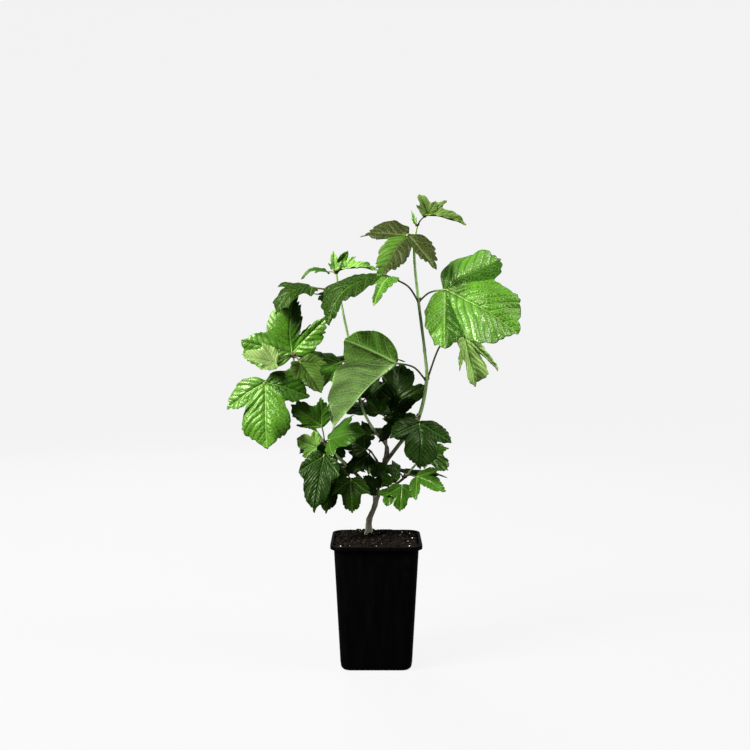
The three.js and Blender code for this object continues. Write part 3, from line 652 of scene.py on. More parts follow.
def viburnum_bark():
    """Thin bark. Green shoots are smooth with fine streaks. They turn tan and then grey with
    age, and corky pores roughen the old wood."""
    add, join = new_finish("viburnum_bark")
    age = add("SeparateXYZ", (add("Attribute", out="Vector", attribute_name="marks"),), "X")
    place = add("TexCoord", out="Object")
    drawn = add("Mapping", {"Vector": place, "Scale": (1.0, 1.0, 0.3)})
    streaks = add("TexNoise", {"Vector": drawn, "Scale": 1000 / STREAK_WIDTH, "Detail": 5.0,
                               "Roughness": 0.65})
    patches = add("TexNoise", {"Vector": place, "Scale": 1000 / PATCH_WIDTH, "Detail": 3.0})
    shifted = add("Math", (patches, -0.5), operation="ADD")
    blended = add("Math", (shifted, 0.5, age), operation="MULTIPLY_ADD")
    ramp = add("ValToRGB", (blended,))
    stops = ramp.node.color_ramp.elements
    stops[0].position, stops[0].color = 0.1, paint("#a6d07c")
    stops[1].position, stops[1].color = 0.85, paint("#bab49c")
    stops.new(0.45).color = paint("#453a2a")
    dark = add("MapRange", (streaks, 0.3, 0.7, 0.62, 1.18))
    toned = add("Mix", {0: 1.0, 6: ramp, 7: dark}, 2, data_type="RGBA", blend_type="MULTIPLY")
    spots = add("TexVoronoi", {"Vector": drawn, "Scale": 1000 / PORE_SPACING})
    pore = add("MapRange", (spots, 0.32, 0.18))
    aged_pore = add("Math", (pore, age), operation="MULTIPLY")
    spotted = add("Mix", {0: aged_pore, 6: toned, 7: paint("#d2ccb8")}, 2, data_type="RGBA")
    rough = add("MapRange", (age, 0.0, 1.0, 0.42, 0.85))
    height = add("Math", (streaks, aged_pore), operation="ADD")
    bump = add("Bump", {"Height": height, "Strength": 0.5, "Distance": 0.0003})
    return join(Base_Color=spotted, Roughness=rough, Normal=bump)


young_bark = viburnum_bark()
mesh_piece("trunk_wood", limb_skin(TRUNK_NODES, TRUNK_RADII, 40, 0.035, 3, 0.14, TRUNK_AGE,
                                   start=0.35, flare=FLARE_DEPTH),
           [young_bark], "bark", "trunk")

# ------------------------------------------------------------------ the shoots

# This year's growth: three tall shoots and four short twigs, each from a fork or a node of
# what carries it. They are slim and faintly ribbed, tan below and green above, with a
# swollen joint at each pair of leaves and a small bud in the corner of each leaf stalk.

# Each by its node in the frame: its path, its radius at each step of it, and its age along it.
SHOOTS = {
    "tall_shoot": (
        [[9, 0, 72], [26, 0, 94], [42, 0, 116], [50, 0, 153], [48, 0, 184], [42, 2, 232],
         [38, 0, 271], [38, 0, 295], [40, -1, 306]],
        [2.1, 1.9, 1.9, 1.7, 1.5, 1.5, 1.3, 1.5, 1.0], ([0, 0.5, 1.3, 8], [0.6, 0.4, 0.1, 0])),
    "middle_shoot": (
        [[8, 1, 71], [11, 3, 86], [-4, 6, 106], [-15, 11, 129], [-23, 16, 172], [-36, 14, 234],
         [-40, 11, 260]],
        [1.8, 1.5, 1.4, 1.4, 1.3, 1.1, 0.9], ([0, 1.5, 3, 4], [0.6, 0.45, 0.2, 0])),
    "left_shoot": (
        [[0, -2, 40], [-26, -8, 67], [-51, -12, 92], [-76, -10, 131], [-81, -7, 150],
         [-82, -4, 177]],
        [1.9, 1.7, 1.6, 1.4, 1.2, 1.0], ([0, 1, 2, 5], [0.55, 0.35, 0.1, 0])),
    "centre_twig": ([[8, 2, 72], [10, 12, 84], [10, 20, 96], [12, 26, 110]],
                    [1.6, 1.4, 1.3, 1.1], ([0, 3], [0.6, 0.1])),
    "inner_twig": ([[6, -1, 64], [0, -4, 75], [-5, -6, 83]], [1.2, 1.0, 0.9],
                   ([0, 2], [0.5, 0.1])),
    "lower_left_twig": ([[-26, -8, 67], [-38, -14, 69], [-47, -16, 78]], [1.5, 1.3, 1.2],
                        ([0, 2], [0.5, 0.1])),
    "lower_right_twig": ([[1, -1, 41], [14, -4, 47], [27, -3, 56], [40, 2, 70]],
                         [1.6, 1.3, 1.2, 1.0], ([0, 3], [0.7, 0.1])),
}
FIRST_SHOOT_SEED = 21

for seed, (node, (nodes, radii, age)) in enumerate(SHOOTS.items(), FIRST_SHOOT_SEED):
    mesh_piece(node + "_stem", limb_skin(nodes, radii, 20, 0.02, seed, 0.16, age, collar=0.3),
               [young_bark], "green_wood", node)

# ------------------------------------------------------------------ how a leaf is made

# Opposite leaves with three pointed and coarsely toothed lobes. Three ribs spread from the
# stalk, and the net between them is sunk on top and raised beneath. The blade is 0.5 mm
# thick, glossy above and dull beneath, on a long red-brown stalk that is flat along its top.

# Half the outline of a blade, from its tip round to its stalk: degrees away from the midrib,
# and the distance from the stalk as a share of the blade's length.
OUTLINES = {
    "broad": [[0, 1], [9, 0.92], [23, 0.85], [34, 0.68], [40, 0.57], [48, 0.69], [58, 0.79],
              [72, 0.68], [88, 0.48], [110, 0.25], [180, 0.05]],
    "full": [[0, 1], [9, 0.92], [23, 0.87], [34, 0.77], [40, 0.7], [48, 0.74], [58, 0.79],
             [72, 0.68], [88, 0.48], [110, 0.25], [180, 0.05]],
    "lobed": [[0, 1], [9, 0.93], [23, 0.87], [31, 0.7], [38, 0.47], [46, 0.64], [57, 0.8],
              [72, 0.66], [88, 0.47], [110, 0.25], [180, 0.05]],
    "deep": [[0, 1], [10, 0.82], [22, 0.62], [32, 0.4], [38, 0.34], [46, 0.56], [57, 0.8],
             [70, 0.64], [86, 0.46], [110, 0.26], [180, 0.05]],
    "small": [[0, 1], [16, 0.86], [33, 0.58], [52, 0.72], [76, 0.52], [104, 0.3], [180, 0.06]],
    "young": [[0, 1], [15, 0.72], [32, 0.42], [46, 0.55], [66, 0.36], [100, 0.2], [180, 0.06]],
}
LARGE_LEAF = 50.0
# Points along half an outline and rings from the middle to the edge, on large and small ones.
LARGE_GRID = (124, 30)
SMALL_GRID = (76, 17)
# The rings' centre as a share of the midrib, and where the first ring and the last one inside
# the edge lie on the way out.
BLADE_CENTRE = 0.12
FIRST_RING = 0.02
LAST_RING = 0.985
BLADE_THICKNESS = 0.5
# Width and height of the teeth as shares of the blade, and how sharp they are.
TEETH = {"broad": (0.15, 0.036, 0.25), "full": (0.15, 0.032, 0.25), "lobed": (0.15, 0.04, 0.3),
         "deep": (0.16, 0.075, 0.6), "small": (0.2, 0.06, 0.4), "young": (0.2, 0.06, 0.6)}
# How far from a tip its point is drawn out, as a share of the blade.
TIP_WIDTH = 0.035
RIB_SLOPE = 0.85
RIB_BEND = 0.6
# The mesh of the finest veins and the width of the darker clouds, in millimetres.
NET_WIDTH = 3.2
CLOUD_WIDTH = 16.67
# How many uneven lumps lie along a blade.
LUMPS = 11.0
# How far the side ribs stray from even spacing, as a share of it.
STRAY = 0.13
# The waves of that straying on a blade of length 1, in radians along a rib and away from it.
STRAY_ALONG = 11.0
STRAY_AWAY = 7.0
# The border between two ribs' share of the blade, as a share of the side rib's angle.
BORDER = 0.67
# Relief, as shares of the blade: how far ribs are sunk, how steeply it rises from them, how
# high and long its puffs are, how far it warps, and how far its edge waves.
GROOVE = 0.012
VALLEY = 0.1
PUFF = 0.009
BLISTER = 0.085
WARP = 0.02
EDGE_WAVE = 0.026
STALK_SIDES = 10
STALK_STEPS = 30
# A stalk's radius at both ends and the length of its flared foot, in millimetres. Its crest's
# rise and place are shares of it, and how far on and how deep it runs are shares of the blade.
STALK_ROOT = 1.0
STALK_END = 0.72
STALK_FOOT = 1.6
STALK_ARCH = 0.14
STALK_CREST = 0.42
STALK_SINK = 0.045
STALK_DEPTH = 0.004
# Where along a stalk its pair of glands sits, and how long they are, as shares of it.
GLAND_PLACE = 0.6
GLAND_LENGTH = 0.02
BUD_LENGTH = 3.6
BUD_RADIUS = 0.95
BUD_SIDES = 8
# How much a leaf's seed varies its twist, in radians, and the share of its side lobes.
VARIED_TWIST = 0.25
VARIED_LOBE = 0.12
SEEDS_PER_MASS = 100
# The shades of a half that keeps its leaf's own tone.
OWN = (None, None, None)


def seeded_numbers(seed, count):
    """Repeatable numbers from 0 to 1: a 32-bit counter, stirred by shifts and products."""
    full = 0xffffffff
    numbers = []
    for step in range(1, count + 1):
        state = (seed + step * 0x6d2b79f5) & full
        mixed = ((state ^ (state >> 15)) * (1 | state)) & full
        mixed = ((mixed + ((mixed ^ (mixed >> 7)) * (61 | mixed) & full)) & full) ^ mixed
        numbers.append(((mixed ^ (mixed >> 14)) & full) / 2 ** 32)
    return numbers


def direction(heading, pitch):
    """A unit vector from a heading, +X towards +Y, and a pitch up from level, in degrees."""
    h, p = np.radians([heading, pitch])
    return np.array([np.cos(p) * np.cos(h), np.cos(p) * np.sin(h), np.sin(p)])


def leaf(tone, node, stalk, blade, face, kind="broad", other=None, fold=0, curl=0, droop=0,
         width=1.0, sway=0.0, lobes=(0, 0), sweep=(0, 0), arch=STALK_ARCH, point=0.045, teeth=1.0,
         ribs=0.12, pale=0.0, shades=(OWN, OWN)):
    """One leaf's line. `stalk` and `blade` are a length, a heading and a pitch, and `face` is
    the way its upper side looks. `kind` is its outline, and `other` that of its right half.
    `fold` lifts the halves from the midrib, `curl` bends them down again and `droop` bends
    the midrib, in degrees. `width` and `sway` are shares of its size. `lobes` is how far each
    side lobe outgrows the outline and `sweep` turns it to the tip. `point` and `teeth` size
    the tips and the teeth, `ribs` is the spacing of the side ribs and `pale` how green the
    stalk is. `shades` gives three parts of each half other tones, which paint light or shade
    on them as they turn to the light or from it: its share of the middle lobe, then the inner
    and outer half of its side lobe."""
    return dict(locals())


def grown(line, root, seed):
    """A leaf's own directions, lengths and bends, from its line and three seeded numbers."""
    twist, first, second = seeded_numbers(seed, 3)
    along = direction(*line["blade"][1:])
    up = direction(*line["face"])
    up = unit(up - along * (up @ along))
    made = dict(line, root=root, along=along, up=up, across=np.cross(up, along))
    made["base"] = root + direction(*line["stalk"][1:]) * line["stalk"][0]
    made["length"] = line["blade"][0]
    for bend in ("fold", "curl", "droop"):
        made[bend] = np.radians(line[bend]) + 0.02
    made["twist"] = (twist - 0.5) * VARIED_TWIST
    made["lobes"] = [lobe + (draw - 0.5) * VARIED_LOBE
                     for lobe, draw in zip(line["lobes"], (first, second))]
    made["seed"] = seed
    return made


def blade_point(leaf, u, v, lift):
    """Where a spot of the flat blade ends up: `u` along the midrib, `v` across, `lift` out of
    the upper side. Across, each half leans up by the fold and bends down by the curl. Then
    the blade twists along its length, and the midrib bends to an arc of the droop's angle."""
    side, out = np.sign(v), np.abs(v)
    length = leaf["length"]
    curl = leaf["curl"] / length
    lean = leaf["fold"] - curl * out
    across = side * (np.sin(leaf["fold"]) - np.sin(lean)) / curl - side * np.sin(lean) * lift
    up = (np.cos(lean) - np.cos(leaf["fold"])) / curl + np.cos(lean) * lift
    turn = leaf["twist"] * u / length
    y = across * np.cos(turn) - up * np.sin(turn) + leaf["sway"] * u * u / length
    z = across * np.sin(turn) + up * np.cos(turn)
    bend = leaf["droop"] / length
    dip = bend * u - leaf["droop"] / 2
    x = (np.sin(dip) + np.sin(leaf["droop"] / 2)) / bend + z * np.sin(dip)
    rise = (np.cos(dip) - np.cos(leaf["droop"] / 2)) / bend + z * np.cos(dip)
    return (leaf["base"] + x[..., None] * leaf["along"] + y[..., None] * leaf["across"]
            + rise[..., None] * leaf["up"])


def half_outline(kind, lobe, sweep, point, teeth, count, seed):
    """Half a blade's edge for a blade of length 1, from the tip to the stalk, at even steps,
    with the way out of it and the height of its teeth. Smooth curves run from the tip to the
    side lobe's tip and from there to the stalk. The teeth are saw waves of uneven width that
    point to the nearer tip and die away at the notch and at the stalk. `point` is how far
    both tips are drawn out."""
    random = np.random.default_rng(seed)
    angle, reach = np.array(OUTLINES[kind]).T
    peak = 1 + np.flatnonzero((reach[1:-1] > reach[:-2]) & (reach[1:-1] > reach[2:]))[0]
    notch = 1 + np.argmin(reach[1:peak])
    angle = np.radians(angle)
    reach = reach * (1 + lobe * np.sin(np.minimum(angle, np.pi / 2)) ** 2)
    angle = angle * (1 - sweep * np.sin(angle) ** 2)
    corners = np.stack([reach * np.cos(angle), reach * np.sin(angle)], 1)
    upper = through(corners[:peak + 1], np.linspace(0, peak, FINE_STEPS))[0]
    lower = through(corners[peak:], np.linspace(0, len(corners) - 1 - peak, FINE_STEPS)[1:])[0]
    fine = np.vstack([upper, lower])
    length = path_length(fine)
    at_notch, at_peak = length[[int((FINE_STEPS - 1) * notch / peak), FINE_STEPS - 1]]
    step = np.linspace(0, length[-1], count)
    step[np.argmin(np.abs(step - at_peak))] = at_peak
    edge = np.stack([np.interp(step, length, fine[:, i]) for i in (0, 1)], 1)
    slope = np.gradient(edge, step, axis=0)
    out = unit(np.stack([-slope[:, 1], slope[:, 0]], 1))
    out *= np.sign(np.einsum("ij,ij->i", out, edge - [0.4, 0]).mean() or 1)
    width, rise, sharp = TEETH[kind]
    phase = step / width + 0.45 * np.sin(step * 9 + random.uniform(0, 6)) \
        + 0.2 * np.sin(step * 23 + random.uniform(0, 6))
    climb = np.where((step >= at_notch) & (step < at_peak), phase % 1, 1 - phase % 1)
    saw = sharp * climb + (1 - sharp) * np.sin(np.pi * climb ** 1.4)
    uneven = 0.65 + 0.7 * random.random(60)[np.floor(phase).astype(int) % 60]
    stretch = np.interp(step, [0, at_notch, at_peak, length[-1]], [0, 1, 0, 1])
    fade = np.clip(1.1 - stretch, 0, 1) ** 0.6 * np.clip(stretch / 0.06, 0, 1)
    fade = np.where((step > at_peak) & (stretch > 0.62), 0, fade)
    height = (saw - 0.45) * uneven * fade * rise * teeth
    height += point * (np.exp(-np.abs(step - at_peak) / TIP_WIDTH) + np.exp(-step / TIP_WIDTH))
    rib = np.radians(OUTLINES[kind][peak][0])
    return edge, out, height, rib * (1 - sweep * np.sin(rib) ** 2)


def rib_net(u, v, rib, spacing, offset):
    """The nearest main rib's own measures, for a blade of length 1: the way along it, the
    distance from it, the count of side ribs passed, and how near the border is. A side rib
    leaves its main rib every `spacing`, and climbs by RIB_SLOPE times its distance plus
    RIB_BEND times that distance squared. A sine wave from `offset` makes it stray."""
    heading = np.arctan2(np.abs(v), u)
    lean = np.where(heading > BORDER * rib, rib, 0)
    along = u * np.cos(lean) + np.abs(v) * np.sin(lean)
    away = np.abs(v) * np.cos(lean) - u * np.sin(lean)
    climbed = along - np.abs(away) * (RIB_SLOPE + RIB_BEND * np.abs(away))
    phase = climbed / spacing + 0.5 * (away > 0) \
        + STRAY * np.sin(STRAY_ALONG * along + STRAY_AWAY * np.abs(away) + offset)
    border = np.abs(heading - BORDER * rib) * np.hypot(u, v)
    return along, np.abs(away), phase, border


def blade_skin(leaf):
    """A closed thin blade. Rings shrink evenly from the edge to a point near the stalk. The
    top row of rings is lifted by half the thickness and the bottom row sunk by it, and both
    follow the same relief: puffed between ribs, sunk at them, waved along the edge."""
    length = leaf["length"]
    count, rings = LARGE_GRID if length >= LARGE_LEAF else SMALL_GRID
    kinds = (leaf["kind"], leaf["other"] or leaf["kind"])
    halves = [half_outline(kinds[i], leaf["lobes"][i], leaf["sweep"][i], leaf["point"],
                           leaf["teeth"], count, leaf["seed"] * 2 + i) for i in (0, 1)]
    mirror = np.array([1, -1])
    edge = np.vstack([halves[0][0], (halves[1][0] * mirror)[-2:0:-1]])
    out = np.vstack([halves[0][1], (halves[1][1] * mirror)[-2:0:-1]])
    teeth = np.concatenate([halves[0][2], halves[1][2][-2:0:-1]])
    rib = np.concatenate([np.full(count, halves[0][3]), np.full(count - 2, halves[1][3])])
    share = np.append(np.linspace(FIRST_RING, LAST_RING, rings - 1), 1)[:, None, None]
    centre = np.array([BLADE_CENTRE, 0])
    flat = centre + share * (edge - centre) + share ** 8 * (teeth[:, None] * out)
    u, v = flat[..., 0], flat[..., 1] * leaf["width"]
    share = share[..., 0]
    random = np.random.default_rng(leaf["seed"])
    offset = random.uniform(0, 2 * np.pi, 5)
    along, away, climbed, border = rib_net(u, flat[..., 1], rib, leaf["ribs"], offset[3])
    quiet = np.clip(away / 0.05, 0, 1) * np.clip(border / 0.05, 0, 1) * (1 - 0.7 * share ** 6)
    blister = 0.85 + 0.2 * np.cos(2 * np.pi * away / BLISTER + 5.1 * np.floor(climbed) + offset[3])
    relief = PUFF * np.sin(np.pi * climbed) ** 2 * blister * quiet
    relief -= GROOVE * np.exp(-(away / 0.02) ** 2)
    relief += VALLEY * np.minimum(away, border) * (1 - share ** 4)
    relief += WARP * np.sin(7 * u + 5 * v + offset[3]) * np.cos(6 * v - 4 * u + offset[4])
    turn = np.linspace(0, 2 * np.pi, len(edge), endpoint=False)
    wave = sum(np.sin(turn * k + o) for k, o in zip((5, 9, 14), offset)) / 2
    relief = (relief + EDGE_WAVE * share ** 3 * wave) * length
    beneath = 0.5 * np.exp(-(away / 0.012) ** 2) * (1 - along)
    thick = BLADE_THICKNESS / 2 * (1 - share ** 40)
    upper = blade_point(leaf, u * length, v * length, relief + thick)
    lower = blade_point(leaf, u * length, v * length, relief - thick * (1 + beneath))
    skin = skin_over(np.concatenate([upper, lower[-2::-1]]))
    flat_marks = np.stack([u, flat[..., 1], rib + 0 * u], 2)
    skin["marks"] = with_poles(np.concatenate([flat_marks, flat_marks[-2::-1]]))
    skin["own"] = np.tile([length / 1000, leaf["ribs"], offset[3]], (len(skin["marks"]), 1))
    # Each side of the blade lies flat in a square of its own on the bake map.
    local = skin["marks"][:, :2] * [0.88, 0.58] + [0.08, 0.5]
    skin["quad_uv"], skin["tri_uv"] = local[skin["quads"]], local[skin["tris"]]
    skin["quad_square"] = np.repeat([0, 1], (rings - 1) * len(edge))
    skin["tri_square"] = np.repeat([0, 1], len(edge))
    return skin


def stalk_skin(leaf):
    """A stalk on a smooth curve from the wood, over its crest, to the blade and a little way
    on beneath the midrib. It flares at its foot, has two glands near its end, and its top is
    flattened. Its marks are the place along it, its radius and how green it is."""
    root, base = leaf["root"], leaf["base"]
    crest = root + (base - root) * STALK_CREST
    crest[2] += leaf["arch"] * np.linalg.norm(base - root)
    length = leaf["length"]
    sink = blade_point(leaf, np.array([length * STALK_SINK]), np.zeros(1),
                       np.array([-length * STALK_DEPTH]))[0]
    share = np.linspace(0, 1, STALK_STEPS)
    centre, slope = through(np.array([root, crest, base, sink]), share * 3)
    turn = all_round(STALK_SIDES)
    slim = 0.75 if length < LARGE_LEAF else 1.0
    radius = slim * (STALK_ROOT + (STALK_END - STALK_ROOT) * share)
    radius = radius * (1 + 0.5 * np.exp(-(share * np.linalg.norm(base - root) / STALK_FOOT) ** 2))
    gland = np.exp(-((share - GLAND_PLACE) / GLAND_LENGTH) ** 2)[:, None] * np.abs(np.cos(turn))
    flat_top = np.exp(-((turn - np.pi / 2) / 0.6) ** 2)
    reach = radius[:, None] * (1 - 0.18 * flat_top + 0.35 * gland)
    skin = skin_over(tube_rings(centre, slope, reach))
    skin["marks"] = with_poles(
        np.stack([share[:, None] + 0 * reach, reach, leaf["pale"] + 0 * reach], 2))
    return skin


def bud_skin(leaf, radius, tangent):
    """A pointed bud, twice as long as it is wide, between stalk and wood."""
    heading = leaf["base"] - leaf["root"]
    heading = unit(heading - tangent * (heading @ tangent))
    share = np.linspace(0.03, 1, 8)
    width = BUD_RADIUS * np.sin(np.pi * share ** 0.7) ** 0.8 + 0.04
    rise = tangent + 0.35 * heading
    foot = leaf["root"] + 0.9 * (heading * radius + tangent)
    centre = foot + share[:, None] * rise * BUD_LENGTH
    slope = np.broadcast_to(rise, centre.shape) + [0, 0, 1e-3]
    skin = skin_over(tube_rings(centre, slope, np.repeat(width[:, None], BUD_SIDES, 1)))
    skin["marks"] = np.full((len(skin["points"]), 3), 0.25)
    return skin


# Each tone of leaf: upper side, its ribs, under side, its ribs, roughness of the top and how
# much light its wax throws back.
# Besides the leaves' own colours, these tones hold painted light and shade. bright paints leaves
# that stand in the light, and deep and dark paint leaves that hang in shade. Just after bright
# come its painted lit copy, with more wax, and turned, its painted shaded copy. The two after sage
# are its painted shaded and lit copies of the under side. These copies paint light and shade on
# parts of one leaf. On the lit copy of bright the ribs are painted darker, the shade in their
# grooves. On the dark tones they are painted lighter, partly paler veins and partly a painted
# highlight on their ridges.
TONES = {
    "bright": ("#36660c", "#80a648", "#557f30", "#96b66c", 0.33, 0.55),
    "glossed": ("#487520", "#163a05", "#557f30", "#96b66c", 0.33, 1.0),
    "turned": ("#1c3d07", "#4f7826", "#557f30", "#96b66c", 0.3, 0.25),
    "fresh": ("#28500a", "#6b9038", "#557f30", "#96b66c", 0.3, 0.35),
    "mid": ("#274a0a", "#557c2c", "#3f6b26", "#7a9c58", 0.33, 0.3),
    "deep": ("#152b03", "#4c6e2a", "#335c1f", "#6f9050", 0.33, 0.14),
    "dark": ("#0c1f03", "#3a5c20", "#294c1a", "#5c7c42", 0.35, 0.2),
    "olive": ("#20260c", "#5c6c34", "#3e5a2a", "#759058", 0.45, 0.2),
    "soft": ("#40621c", "#263a10", "#557f30", "#8fae66", 0.45, 0.2),
    "sage": ("#12240a", "#3f5824", "#5a872c", "#acd07a", 0.36, 0.25),
    "sage_hollow": ("#12240a", "#3f5824", "#467619", "#98c266", 0.36, 0.25),
    "sage_tip": ("#12240a", "#3f5824", "#78a14e", "#bcdc92", 0.36, 0.25),
    "light": ("#74a046", "#47702a", "#6a9244", "#8fae66", 0.4, 0.3),
    "thin": ("#a6cc6e", "#6c9a44", "#9cc46c", "#b4d48a", 0.4, 0.3),
    "blush": ("#748e4c", "#5c6c40", "#7a8c5c", "#8a8060", 0.45, 0.2),
    "folded": ("#566f30", "#44502a", "#5f7040", "#5a5038", 0.45, 0.2),
    "plum": ("#3c561c", "#263610", "#47602e", "#66684a", 0.42, 0.2),
}


# From a spot's marks to the lines, the painted shade and the relief on a leaf, in steps: the
# result, how it is worked out, and from what, by name or as a number. RANGE takes its value,
# the low and high end that it reads, and those that it gives. The first steps follow rib_net.
LEAF_STEPS = [
    ("out", "ABSOLUTE", "v"),
    ("heading", "ARCTAN2", "out", "u"),
    ("limit", "MULTIPLY", "rib", BORDER),
    ("beyond", "GREATER_THAN", "heading", "limit"),
    ("lean", "MULTIPLY", "rib", "beyond"),
    ("cosine", "COSINE", "lean"),
    ("sine", "SINE", "lean"),
    ("out_sine", "MULTIPLY", "out", "sine"),
    ("along", "MULTIPLY_ADD", "u", "cosine", "out_sine"),
    ("out_cosine", "MULTIPLY", "out", "cosine"),
    ("u_sine", "MULTIPLY", "u", "sine"),
    ("apart", "SUBTRACT", "out_cosine", "u_sine"),
    ("outer", "GREATER_THAN", "apart", 0.0),
    ("side", "MULTIPLY", "outer", 0.5),
    ("away", "ABSOLUTE", "apart"),
    ("steepness", "MULTIPLY_ADD", "away", RIB_BEND, RIB_SLOPE),
    ("climb", "MULTIPLY", "away", "steepness"),
    ("climbed", "SUBTRACT", "along", "climb"),
    ("wave_along", "MULTIPLY_ADD", "along", STRAY_ALONG, "offset"),
    ("wave_away", "MULTIPLY", "away", STRAY_AWAY),
    ("wave", "ADD", "wave_along", "wave_away"),
    ("stray", "SINE", "wave"),
    ("strayed", "MULTIPLY_ADD", "stray", STRAY, "side"),
    ("passed", "DIVIDE", "climbed", "spacing"),
    ("phase", "ADD", "passed", "strayed"),
    ("band", "PINGPONG", "phase", 0.5),
    ("band_width", "MULTIPLY", "band", "spacing"),
    ("gap", "MULTIPLY", "band_width", 0.8),
    ("taper", "MULTIPLY_ADD", "along", 0.9, 0.6),
    ("slimmer", "MULTIPLY", "away", "taper"),
    ("main", "RANGE", "slimmer", "rib_core", "rib_width", 1.0, 0.0),
    ("twig_line", "RANGE", "gap", 0.0, "twig_width", 1.0, 0.0),
    ("twig_fade", "RANGE", "away", 0.0, 0.4, 1.0, 0.55),
    ("twig", "MULTIPLY", "twig_line", "twig_fade"),
    ("grown_up", "RANGE", "size", 0.03, 0.07, 0.25, 1.0),
    ("net_line", "RANGE", "cells", 0.0, 0.14, 0.55, 0.0),
    ("net", "MULTIPLY", "net_line", "grown_up"),
    ("finer", "MAXIMUM", "twig", "net"),
    ("lines", "MAXIMUM", "main", "finer"),
    ("drawn", "MULTIPLY", "lines", "strength"),
    ("pillow", "RANGE", "band", 0.0, 0.3, 0.0, 1.0),
    ("swollen", "MULTIPLY_ADD", "uneven", 0.5, "pillow"),
    # Painted shade: the leaf's colour is darkened in the hollows along its ribs and a little
    # lightened on the puffs between them.
    ("hollow", "RANGE", "swollen", 0.2, 1.0, 0.54, 1.08),
    ("clouded", "RANGE", "cloud", 0.3, 0.7, 0.72, 1.28),
    ("lightness", "MULTIPLY", "hollow", "clouded"),
    ("blister", "RANGE", "cells", 0.0, 0.4, 0.0, 0.36),
    ("blisters", "MULTIPLY", "blister", "grown_up"),
    ("roughened", "MULTIPLY", "uneven", 0.8),
    ("wrinkles", "ADD", "blisters", "roughened"),
    ("wrinkled", "MULTIPLY", "pillow", "wrinkles"),
    ("height", "MULTIPLY_ADD", "lines", "raised", "wrinkled"),
    ("grown_spacing", "MULTIPLY", "spacing", "grown_up"),
    ("real_spacing", "MULTIPLY", "size", "grown_spacing"),
    ("depth", "MULTIPLY", "real_spacing", 0.045),
]


def leaf_side(name, colour, rib_colour, sheen, roughness, wax, rib_width, strength, raised):
    """One side of a living leaf. Wax gives the top its gloss, and ribs, side ribs and a net of
    fine veins between them are sunk in it. The under side is dull, its ribs raised."""
    add, join = new_finish(
        name, Roughness=roughness, IOR=1.45, Specular_IOR_Level=wax, Specular_Tint=paint(sheen))
    marks = add("Attribute", out="Vector", attribute_name="marks")
    own = add("Attribute", out="Vector", attribute_name="own")
    place = add("TexCoord", out="Object")
    known = dict(zip(("u", "v", "rib"), add("SeparateXYZ", (marks,)).node.outputs))
    known.update(zip(("size", "spacing", "offset"), add("SeparateXYZ", (own,)).node.outputs))
    meshes = add("Math", (known["size"], NET_WIDTH / 1000), operation="DIVIDE")
    known.update(
        rib_width=rib_width, rib_core=rib_width * 0.3, twig_width=rib_width * 0.55,
        strength=strength, raised=raised,
        uneven=add("TexNoise", {"Vector": marks, "Scale": LUMPS, "Detail": 2.0}),
        cloud=add("TexNoise", {"Vector": place, "Scale": 1000 / CLOUD_WIDTH, "Detail": 4.0}),
        cells=add("TexVoronoi", {"Vector": marks, "Scale": meshes}, "Distance",
                  voronoi_dimensions="2D", feature="DISTANCE_TO_EDGE"))
    for result, way, *terms in LEAF_STEPS:
        terms = [known.get(term, term) for term in terms]
        known[result] = (add("MapRange", terms) if way == "RANGE"
                         else add("Math", terms, operation=way))
    # The leaf's colour times its painted shade in the hollows and its mottled clouds, with its
    # veins drawn over it.
    ground = add("Mix", {0: 1.0, 6: paint(colour), 7: known["lightness"]}, 2,
                 data_type="RGBA", blend_type="MULTIPLY")
    tone = add("Mix", {0: known["drawn"], 6: ground, 7: paint(rib_colour)}, 2, data_type="RGBA")
    bump = add("Bump", {"Height": known["height"], "Strength": 1.0, "Distance": known["depth"]})
    return join(Base_Color=tone, Normal=bump)


leaf_finishes = []
finish_number = {}
for tone, (top, top_rib, under, under_rib, gloss, wax) in TONES.items():
    finish_number[tone] = len(leaf_finishes)
    leaf_finishes += [
        leaf_side("waxed_leaf_top_" + tone, top, top_rib, "#d4ecac", gloss, wax, 0.012, 0.75,
                  -0.35),
        leaf_side("dull_leaf_back_" + tone, under, under_rib, "#c8dca8", 0.55, 0.15, 0.015,
                  0.85, 0.8)]


BLOTCH_WIDTH = 6.25


def red_stalk():
    """Smooth and a little glossy: purple-brown where the sun reaches it, paling to green at
    the blade and on shaded stalks, with small blotches."""
    add, join = new_finish("red_leaf_stalk", Roughness=0.42)
    marks = add("Attribute", out="Vector", attribute_name="marks")
    share, _, pale = add("SeparateXYZ", (marks,)).node.outputs
    place = add("TexCoord", out="Object")
    blotch = add("TexNoise", {"Vector": place, "Scale": 1000 / BLOTCH_WIDTH, "Detail": 4.0})
    paler = add("Math", (share, pale), operation="ADD")
    shifted = add("Math", (blotch, 0.5, paler), operation="MULTIPLY_ADD")
    ramp = add("ValToRGB", (shifted,))
    stops = ramp.node.color_ramp.elements
    stops[0].position, stops[0].color = 0.35, paint("#3f2a22")
    stops[1].position, stops[1].color = 1.0, paint("#7f9a4a")
    stops.new(0.8).color = paint("#5c4a30")
    bump = add("Bump", {"Height": blotch, "Strength": 0.2, "Distance": 0.0002})
    return join(Base_Color=ramp, Normal=bump)


stalk_finish = red_stalk()


